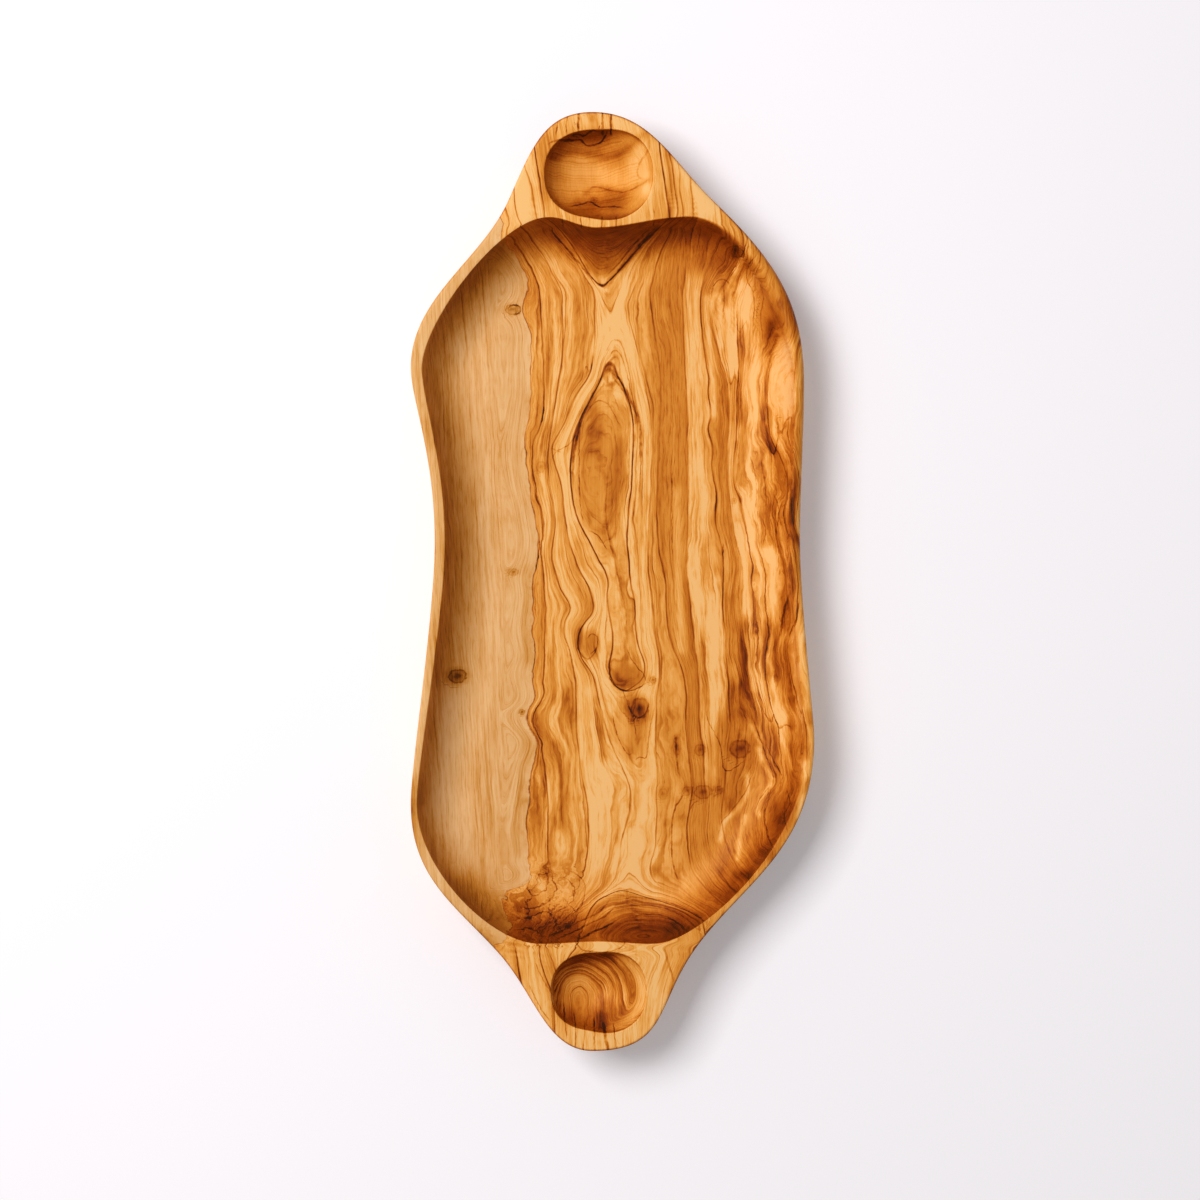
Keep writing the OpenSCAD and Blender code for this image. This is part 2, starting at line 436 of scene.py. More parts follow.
@dataclass
class DishBody:
    """The carved block: outside wall, foot, rim, handles, tray and the two dip bowls."""

    half_width: float
    half_length: float
    height: float
    tray_depth: float = 25.0
    tray_cove: float = 26.0
    rim_round: float = 1.5
    lip_round: float = 0.75
    # Rounder edges at the right, and the places across and along between which they grow
    soft_lip_round: float = 3.2
    soft_lip_x: Span = (42.0, 72.0)
    soft_corner_round: float = 7.0
    soft_corner_x: Span = (30.0, 56.0)
    soft_corner_y: Span = (60.0, 120.0)
    soft_rim_round: float = 3.6
    soft_rim_x: Span = (60.0, 84.0)
    soft_rim_y: Span = (-30.0, 30.0)
    least_flat: float = 0.4
    foot_inset: float = 14.0
    side_fullness: float = 1.7
    spine_x: float = -3.0
    spine_reach: float = 125.0
    waist_y: float = 20.0
    bowl_x: float = -8.0
    upper_septum: float = 5.5
    lower_septum: float = 6.0

    # Numbers of the stops at the ends of the rims and handles, and of the spans where the floor's grid turns
    left_rim: tuple[int, int] = (1, 5)
    right_rim: tuple[int, int] = (7, 11)
    upper_handle: tuple[int, int] = (11, 1)
    lower_handle: tuple[int, int] = (5, 7)
    turning_spans: tuple[int, ...] = (1, 4, 7, 10)

    # Steps between stops, so that the floor's grid has as many on its left as on its right
    spans: tuple[int, ...] = (32, 54, 68, 102, 68, 30, 31, 86, 78, 67, 86, 36)
    wall_rings: int = 13
    edge_rings: int = 5
    cove_rings: int = 28
    lip_rings: int = 5
    rim_rows: int = 4
    handle_rings: int = 28
    bowl_rings: int = 22
    base_thinning: int = 3
    base_margin: float = 5.0

    def __post_init__(self) -> None:
        """Works out the two outlines and the bowls from the sizes."""
        w, l = self.half_width, self.half_length
        left_waist, right_waist, right_swell = 12 - w, w - 7, w - 5
        self.upper_bowl = DipBowl(x=self.bowl_x, y=l - 31, width=52, length=43.5, depth=15)
        self.lower_bowl = DipBowl(x=self.bowl_x, y=30 - l, width=45.5, length=38.5, depth=13)
        # Both run anticlockwise from the upper end: place, heading, pull before and pull after
        self.rim_stops = (
            Stop(-10, l, 180, 0.39, 0.40),
            Stop(-52, l - 44, 246, 0.47, 0.34),
            Stop(-w, l - 128, 270, 0.36, 0.18),
            Stop(left_waist, self.waist_y, 270, 0.50, 0.28),
            Stop(-w, 124 - l, 270, 0.15, 0.43),
            Stop(-57, 49 - l, 312, 0.38, 0.40),
            Stop(-10, -l, 0, 0.34, 0.53),
            Stop(40, 49 - l, 56, 0.46, 0.33),
            Stop(w, 156 - l, 90, 0.46, 0.12),
            Stop(right_waist, self.waist_y, 90, 0.33, 0.36),
            Stop(right_swell, l - 135, 90, 0.37, 0.43),
            Stop(50, l - 44, 136, 0.38, 0.37),
        )
        upper_end = self.upper_bowl.y - self.upper_bowl.length / 2 - self.upper_septum
        lower_end = self.lower_bowl.y + self.lower_bowl.length / 2 + self.lower_septum
        self.tray_stops = (
            Stop(self.bowl_x, upper_end, 180, 0.35, 0.35),
            Stop(-32, l - 53, 180, 0.35, 0.25),
            Stop(6 - w, l - 128, 270, 0.22, 0.18),
            Stop(left_waist + 5.5, self.waist_y, 270, 0.45, 0.28),
            Stop(3.5 - w, 124 - l, 270, 0.15, 0.36),
            Stop(-37, 54 - l, 0, 0.25, 0.35),
            Stop(self.bowl_x, lower_end, 0, 0.35, 0.35),
            Stop(21, 54 - l, 0, 0.35, 0.17),
            Stop(w - 5, 156 - l, 90, 0.44, 0.12),
            Stop(right_waist - 5, self.waist_y, 90, 0.33, 0.36),
            Stop(right_swell - 5, l - 135, 90, 0.37, 0.25),
            Stop(36, l - 53, 180, 0.28, 0.35),
        )
        self.rim = outline(self.rim_stops, self.spans)
        self.tray = outline(self.tray_stops, self.spans)
        self.starts = np.concatenate([[0], np.cumsum(self.spans)])
        self.tray_floor = self.height - self.tray_depth

    def drawn_in(self, loop: Array, distance: float) -> Array:
        """Moves a loop towards the dish's middle line.

        Args:
            loop: Points of the loop.
            distance: How far each point moves.

        Returns:
            The moved points.
        """
        end = self.half_length - self.spine_reach
        spine = np.column_stack([np.full(len(loop), self.spine_x), np.clip(loop[:, 1], -end, end)])
        return loop + distance * unit(spine - loop)

    def outside(self) -> Array:
        """Draws the outside from the rim's top edge down to the foot.

        The edge is a quarter circle. Below it the wall is a superellipse between the rim and the foot:
        the share of the way in is 1 − sin^(2/n) and the height is 1 − cos^(2/n), for a quarter turn.

        Returns:
            Grid of points, a ring in each row.
        """
        edge = self.rim_edge()
        wall_height = self.height - edge
        foot = self.drawn_in(self.tray, self.foot_inset)
        rows = [
            at_height(inset(self.rim, (edge * (1 - math.cos(a)))[:, None]), wall_height + edge * math.sin(a))
            for a in np.linspace(math.pi / 2, 0, self.edge_rings + 1)[:-1]
        ]
        power = 2 / self.side_fullness
        for a in np.linspace(math.pi / 2, 0, self.wall_rings + 1):
            share = 1 - max(math.sin(a), 0.0) ** power
            z = wall_height * (1 - max(math.cos(a), 0.0) ** power)
            rows.append(at_height(self.rim + share * (foot - self.rim), z))
        return np.stack(rows)

    def rim_edge(self) -> Array:
        """Finds the radius of the rim's outer edge: small, but at the upper right it falls off roundly.

        Returns:
            The radius at each point of the rim.
        """
        x, y = self.rim.T
        share = smooth(*self.soft_rim_x, x) * smooth(*self.soft_rim_y, y)
        return self.rim_round + share * (self.soft_rim_round - self.rim_round)

    def rim_top(self) -> Array:
        """Outer edge of the rim's flat top."""
        return inset(self.rim, self.rim_edge()[:, None])

    def tray_lip(self) -> Array:
        """Finds the radius of the tray's edge: small, but along the right it rolls softly into the rim.

        Returns:
            The radius at each point of the tray's edge, no more than the rim has room for.
        """
        most = np.linalg.norm(self.rim_top() - self.tray, axis=1) - self.least_flat
        x, y = self.tray.T
        wished = self.lip_round + smooth(*self.soft_lip_x, x) * (self.soft_lip_round - self.lip_round)
        corner = smooth(*self.soft_corner_x, x) * smooth(*self.soft_corner_y, y)
        wished += corner * (self.soft_corner_round - wished)
        return np.clip(wished, self.lip_round, np.maximum(most, self.lip_round))

    def hollow(self) -> Array:
        """Draws the tray from its softened edge down the coved wall to its floor.

        The edge is a quarter circle that flares towards the rim. The cove is a quarter ellipse, with
        its width drawn towards the dish's middle line.

        Returns:
            Grid of points, a ring in each row.
        """
        lip = self.tray_lip()
        wall_top = self.height - lip
        outward = lip[:, None] * unit(self.rim_top() - self.tray)
        rows = [
            at_height(self.tray + (1 - math.cos(a)) * outward, wall_top + lip * math.sin(a))
            for a in np.linspace(math.pi / 2, 0, self.lip_rings + 1)[:-1]
        ]
        for a in np.linspace(math.pi / 2, 0, self.cove_rings + 1):
            z = self.tray_floor + (wall_top - self.tray_floor) * (1 - math.cos(a))
            rows.append(at_height(self.drawn_in(self.tray, self.tray_cove * (1 - math.sin(a))), z))
        return np.stack(rows)

    def corners(self) -> tuple[int, int, int, int]:
        """Finds where the floor's grid turns, at the middle of four spans.

        Returns:
            Numbers of the loop's upper left, lower left, lower right and upper right points.
        """
        upper_left, lower_left, lower_right, upper_right = (
            int(self.starts[k] + self.spans[k] // 2) for k in self.turning_spans
        )
        return upper_left, lower_left, lower_right, upper_right

    def handle(self, skin: Skin, first: int, last: int, edge: Array, lip: Array, bowl: DipBowl) -> None:
        """Adds a handle's top and its dip bowl.

        The top is the straight blend from the bowl's edge to a loop made of the rim, the two cuts
        across the rim at the handle's neck, and the tray's edge.

        Args:
            skin: Surface that takes the patches.
            first: Number of the neck's first stop, where the rim enters the handle.
            last: Number of its last stop.
            edge: Rim's loop at the top.
            lip: Tray's loop at the top.
            bowl: The handle's bowl.
        """
        count = len(edge)
        begin, end = self.starts[first], self.starts[last]
        run = np.arange(begin, end + (count if end < begin else 0) + 1) % count
        share = np.linspace(0, 1, self.rim_rows + 1)[:, None]
        far_cut = (edge[run[-1]] + share * (lip[run[-1]] - edge[run[-1]]))[1:]
        near_cut = (lip[run[0]] + share * (edge[run[0]] - lip[run[0]]))[1:-1]
        loop = np.concatenate([edge[run], far_cut, lip[run[::-1]][1:], near_cut])
        angles = np.arctan2(loop[:, 1] - bowl.y, loop[:, 0] - bowl.x)
        hollow = bowl.hollow(angles, self.height, self.lip_round, self.bowl_rings, self.lip_rings)
        spread = np.linspace(0, 1, self.handle_rings + 1)[:, None, None]
        top = at_height(loop, self.height)
        skin.add(hollow[0][None] + spread * (top - hollow[0])[None], wraps=True)
        skin.add(hollow, wraps=True)

    def rim_strip(self, skin: Skin, first: int, last: int, edge: Array, lip: Array) -> None:
        """Adds the flat rim along one side, as the straight blend from the rim's edge to the tray's.

        Args:
            skin: Surface that takes the patch.
            first: Number of the side's first stop.
            last: Number of its last stop.
            edge: Rim's loop at the top.
            lip: Tray's loop at the top.
        """
        run = np.arange(self.starts[first], self.starts[last] + 1)
        share = np.linspace(0, 1, self.rim_rows + 1)[:, None, None]
        strip = edge[run][None] + share * (lip[run] - edge[run])[None]
        skin.add(np.stack([at_height(row, self.height) for row in strip]))

    def base(self, skin: Skin, foot: Array) -> None:
        """Adds the flat foot: a strip that drops to fewer points, then a coarser Coons patch.

        Args:
            skin: Surface that takes the patches.
            foot: The foot's loop.
        """
        step = self.base_thinning
        inner = self.drawn_in(foot, self.base_margin)[::step]
        fine = skin.add(at_height(foot, 0)[None])[0].reshape(-1, step)
        coarse = skin.add(at_height(inner, 0)[None])[0]
        ahead_fine, ahead_coarse = np.roll(fine[:, 0], -1), np.roll(coarse, -1)
        skin.faces += np.stack([fine[:, 0], fine[:, 1], coarse], axis=-1).tolist()
        skin.faces += np.stack([fine[:, 1], fine[:, 2], ahead_coarse, coarse], axis=-1).tolist()
        skin.faces += np.stack([fine[:, 2], ahead_fine, ahead_coarse], axis=-1).tolist()
        corners = tuple(round(c / step) for c in self.corners())
        patch = coons(inner, corners)
        skin.add(np.dstack([patch, np.zeros(patch.shape[:2])]))

    def build(self) -> bpy.types.Mesh:
        """Builds the whole dish as one closed mesh.

        Returns:
            The mesh.
        """
        skin = Skin()
        outside, hollow = self.outside(), self.hollow()
        edge, lip = outside[0][:, :2], hollow[0][:, :2]
        skin.add(outside, wraps=True)
        skin.add(hollow, wraps=True)
        floor = coons(hollow[-1][:, :2], self.corners())
        skin.add(np.dstack([floor, np.full(floor.shape[:2], self.tray_floor)]))
        self.rim_strip(skin, *self.left_rim, edge, lip)
        self.rim_strip(skin, *self.right_rim, edge, lip)
        self.handle(skin, *self.upper_handle, edge, lip, self.upper_bowl)
        self.handle(skin, *self.lower_handle, edge, lip, self.lower_bowl)
        self.base(skin, outside[-1][:, :2])
        return skin.mesh("dish")


# The camera's view and where its pixels fall on the dish


@dataclass(frozen=True)
class PlanView:
    """A camera straight above the dish, framed as in the photograph."""

    image_size: float = 1200.0
    mm_per_pixel: float = 0.5
    dish_middle: tuple[float, float] = (612.5, 581.5)
    rim_height: float = 36.0
    floor_height: float = 11.0
    distance: float = 1600.0
    sensor: float = 36.0
    clip_end: float = 100.0
    # Rows of the upper rim, the floor's two ends and the lower rim, with the share of the cove climbed
    wall_rows: tuple[float, ...] = (225.0, 285.0, 890.0, 942.0)
    wall_shares: tuple[float, ...] = (1.0, 0.0, 0.0, 1.0)

    def axis(self) -> tuple[float, float]:
        """Finds where the camera's axis meets the dish's plan.

        Returns:
            The place across and along.
        """
        half = self.image_size / 2
        x, y = self.dish_middle
        return (half - x) * self.mm_per_pixel, (y - half) * self.mm_per_pixel

    def cove_height(self, share: Array) -> Array:
        """Height in an end cove, a quarter ellipse, at a share of the way from the floor to the rim."""
        return self.floor_height + (self.rim_height - self.floor_height) * (1 - np.sqrt(1 - share**2))

    def height_along(self, y: Array) -> Array:
        """Height of the dish's middle at places along it: handles, end coves and floor."""
        ends = self.place(np.zeros(len(self.wall_rows)), np.array(self.wall_rows))[:, 1]
        return self.cove_height(np.interp(-y, -ends, self.wall_shares))

    def place(self, px: Array, py: Array) -> Array:
        """Place on the dish under pixels, on the floor, the end walls or the handles.

        Args:
            px: Columns.
            py: Rows, which tell the height.

        Returns:
            Plan points.
        """
        height = self.cove_height(np.interp(py, self.wall_rows, self.wall_shares))
        scale = self.mm_per_pixel * (self.distance + self.rim_height - height) / self.distance
        x, y = self.axis()
        half = self.image_size / 2
        return np.column_stack([x + (px - half) * scale, y - (py - half) * scale])

    def camera(self) -> bpy.types.Object:
        """Makes the camera, looking straight down with the dish's length up the picture.

        Returns:
            The camera.
        """
        data = bpy.data.cameras.new("plan_camera")
        data.sensor_fit = "HORIZONTAL"
        data.sensor_width = self.sensor
        data.lens = self.sensor * self.distance / (self.image_size * self.mm_per_pixel)
        data.clip_end = self.clip_end
        camera = placed("plan_camera", data)
        x, y = self.axis()
        camera.location = (x * MM, y * MM, (self.rim_height + self.distance) * MM)
        bpy.context.scene.camera = camera
        return camera


# The plank's figure, given point by point. Rows and columns are pixels of the plan view


# Parts of the figure that the plank stores on the mesh and the wood's shader reads
FIGURE = {
    "growth": ("growth", "side", "curl"),
    "band": ("left", "right", "sap"),
    "ring": ("radius", "slope", "pitch"),
    # The mark holds end grain, the strokes with their painted light and shade, and the facing that gives the
    # sapwood painted shade
    "mark": ("end_grain", "stain_and_painted_light", "lean"),
    "part": ("plain", "plain_tone", "burl"),
    "show": ("lines", "still", "top"),
    "knot": ("knot_x", "knot_y", "knot_weight"),
}
CREASE_LAYERS = 3
FIGURE |= {f"crease_{i}": (f"off_{i}", f"strength_{i}", f"width_{i}") for i in range(CREASE_LAYERS)}


class Tone(Enum):
    """What a mark does to the colour."""

    DARK = 1.0
    PALE = -1.0


DARK, PALE = Tone


@dataclass(frozen=True)
class GrowthLine:
    """A dark growth line that runs along the dish.

    The growth is the usual distance in millimetres from the line before it. The columns are those that
    it passes in some rows, from the upper end to the lower.
    """

    name: str
    strength: float
    growth: float
    columns: dict[float, float]


@dataclass(frozen=True)
class Crease:
    """A thin dark line that leaves the growth lines: the (column, row) points it passes, and its look.

    The width is in millimetres.
    """

    points: Points
    strength: float
    width: float = 0.7


@dataclass(frozen=True)
class Streak:
    """A soft darker or paler stroke, of the wood or of painted light or shade: the (column, row) points it
    passes, and its look.

    The half-width is in pixels.
    """

    points: Points
    half_width: float
    tone: Tone
    strength: float


@dataclass(frozen=True)
class PlainPart:
    """An oval where the bands fade: its middle, its half-sizes, the share of plain wood and its tone."""

    column: float
    row: float
    half_width: float
    half_length: float
    share: float
    tone: float = 0.36


@dataclass(frozen=True)
class Knot:
    """A knot: its middle, its half-sizes, how far it pushes the growth aside and how dark it is."""

    column: float
    row: float
    half_width: float
    half_length: float
    push: float = 1.0
    weight: float = 1.0


# Column of the pith and its height in millimetres above the floor, in the rows where they change
PITH = {
    112: (592, 31.0), 145: (597, 31.0), 194: (604, 31.0), 222: (608, 31.5), 250: (605, 31.0),
    272: (602, 31.3), 288: (602, 31.8), 310: (606, 32.6), 335: (610, 33.0), 364: (610, 31.7),
    380: (610, 31.3), 402: (609, 30.0), 420: (606, 28.6), 459: (602, 27.5), 480: (601.5, 27.6),
    515: (602.5, 28.8), 542: (608.5, 30.2), 577: (618.5, 31.15), 600: (621, 31.0), 640: (625, 31.1),
    676: (627, 30.6), 690: (625, 31.6), 720: (630, 32.4), 770: (638, 33.4), 840: (632, 34.2),
    886: (622, 32.2), 894: (624, 31.2), 903: (630, 28.0), 915: (638, 23.0), 930: (642, 20.0),
    938: (642, 22.5), 942: (640, 29.0), 960: (630, 27.0), 980: (622, 26.0), 1050: (618, 26.0),
}

LEFT_LINES = (
    # Edge of the pale band beside the arch
    GrowthLine("pale_edge", 0.34, 8.0, {
        112: 514, 145: 520, 162: 524, 183: 531, 206: 535, 222: 539, 250: 560, 268: 575, 288: 592,
        316: 594, 351: 594, 372: 590, 395: 576, 424: 564, 446: 552, 479: 560, 517: 565, 540: 569,
        561: 576, 589: 589, 614: 592, 626: 582, 657: 581, 674: 592, 711: 601, 752: 615, 790: 630,
        840: 622, 890: 606, 905: 588, 920: 566, 942: 549, 962: 553, 990: 562, 1050: 575,
    }),
    # Long dark line down the middle of the left heartwood
    GrowthLine("middle_line", 0.36, 12.0, {
        112: 500, 145: 507, 177: 513, 218: 519, 250: 536, 270: 549, 288: 560, 312: 562, 356: 562,
        400: 556, 437: 550, 458: 547, 479: 548, 521: 555, 557: 552, 588: 560, 609: 570, 622: 565,
        660: 572, 688: 576, 722: 576, 761: 580, 812: 588, 840: 588, 890: 576, 920: 552, 942: 540,
        970: 543, 990: 551, 1050: 565,
    }),
    # Dark line beside the sapwood
    GrowthLine("sap_line", 0.42, 9.0, {
        112: 482, 177: 497, 217: 508, 250: 522, 280: 536, 318: 541, 382: 544, 421: 542, 440: 535,
        480: 534, 520: 543, 557: 541, 576: 543, 600: 546, 640: 545, 680: 543, 700: 541, 716: 532,
        742: 541, 780: 546, 840: 548, 870: 546, 890: 532, 920: 526, 942: 516, 962: 517, 985: 521,
        1050: 545,
    }),
    # Edge of the sapwood
    GrowthLine("sap_edge", 0.38, 5.0, {
        112: 470, 200: 488, 214: 496, 229: 506, 250: 515, 280: 528, 295: 527, 306: 523, 314: 523,
        325: 528, 356: 530, 401: 530, 420: 528, 440: 526, 459: 526, 482: 529, 511: 534, 543: 538,
        557: 537, 575: 532, 594: 534, 632: 532, 657: 535, 672: 532, 704: 532, 712: 526, 719: 526,
        742: 537, 768: 532, 806: 528, 829: 526, 860: 528, 884: 525, 891: 509, 905: 508, 934: 507,
        946: 494, 985: 490, 1050: 480,
    }),
)

RIGHT_LINES = (
    # Edge of the pale wood round the arch
    GrowthLine("arch_edge", 0.28, 9.0, {
        112: 656, 150: 669, 185: 674, 220: 676, 250: 654, 280: 638, 293: 632, 303: 628, 316: 629,
        336: 634, 369: 642, 408: 649, 433: 652, 480: 651, 537: 648, 575: 649, 607: 653, 640: 656,
        666: 660, 700: 656, 740: 656, 790: 658, 840: 656, 886: 660, 905: 690, 930: 700, 950: 688,
        990: 672, 1050: 650,
    }),
    # Left edge of the broad brown band
    GrowthLine("brown_start", 0.34, 5.0, {
        112: 662, 150: 676, 190: 680, 220: 683, 250: 668, 293: 650, 312: 652, 335: 655, 363: 659,
        388: 661, 446: 659, 480: 658, 517: 657, 549: 659, 575: 664, 626: 668, 645: 672, 672: 683,
        691: 686, 734: 686, 753: 688, 773: 691, 797: 692, 808: 690, 824: 687, 844: 688, 863: 690,
        890: 700, 910: 708, 942: 699, 990: 684, 1050: 660,
    }),
    # Right edge of the broad brown band
    GrowthLine("brown_end", 0.22, 14.0, {
        150: 688, 183: 691, 218: 694, 250: 690, 293: 683, 331: 683, 369: 685, 420: 687, 480: 688,
        524: 688, 549: 687, 594: 689, 639: 694, 680: 699, 720: 700, 760: 703, 800: 706, 840: 706,
        890: 718, 942: 708, 1050: 672,
    }),
    # Wavy dark line
    GrowthLine("wavy_line", 0.38, 11.0, {
        170: 716, 206: 720, 228: 721, 260: 712, 290: 702, 317: 701, 349: 704, 380: 708, 389: 708,
        415: 710, 430: 708, 444: 712, 464: 712, 491: 716, 524: 716, 549: 722, 575: 723, 600: 722,
        640: 726, 697: 729, 728: 731, 770: 727, 810: 722, 850: 726, 890: 732, 942: 716, 1050: 684,
    }),
    # Right edge of the reddish band
    GrowthLine("red_end", 0.16, 8.0, {
        206: 736, 228: 737, 260: 728, 290: 710, 317: 712, 349: 718, 382: 727, 420: 728, 480: 728,
        517: 732, 543: 737, 562: 742, 581: 744, 607: 742, 640: 745, 690: 750, 740: 758, 790: 748,
        830: 740, 890: 745, 942: 724, 1050: 696,
    }),
    # Brown stripe between two pale ones
    GrowthLine("stripe", 0.32, 6.0, {
        206: 752, 235: 752, 262: 748, 280: 742, 295: 738, 320: 736, 350: 738, 420: 736, 443: 736,
        458: 734, 486: 735, 498: 740, 520: 745, 543: 748, 566: 751, 600: 752, 626: 753, 659: 753,
        676: 755, 694: 758, 719: 766, 760: 768, 781: 771, 805: 756, 840: 752, 890: 757, 942: 732,
        1050: 708,
    }),
    # Dark edge of the outermost pale wood
    GrowthLine("outer_edge", 0.30, 12.0, {
        206: 776, 240: 776, 290: 776, 331: 780, 346: 775, 357: 770, 372: 767, 393: 765, 417: 765,
        442: 768, 455: 773, 480: 779, 520: 776, 560: 782, 600: 784, 650: 780, 690: 786, 740: 792,
        790: 789, 840: 780, 890: 775, 942: 740, 1050: 720,
    }),
)


class Side(Enum):
    """The growth lines on each side of the pith, from the pith outwards."""

    LEFT = LEFT_LINES
    RIGHT = RIGHT_LINES


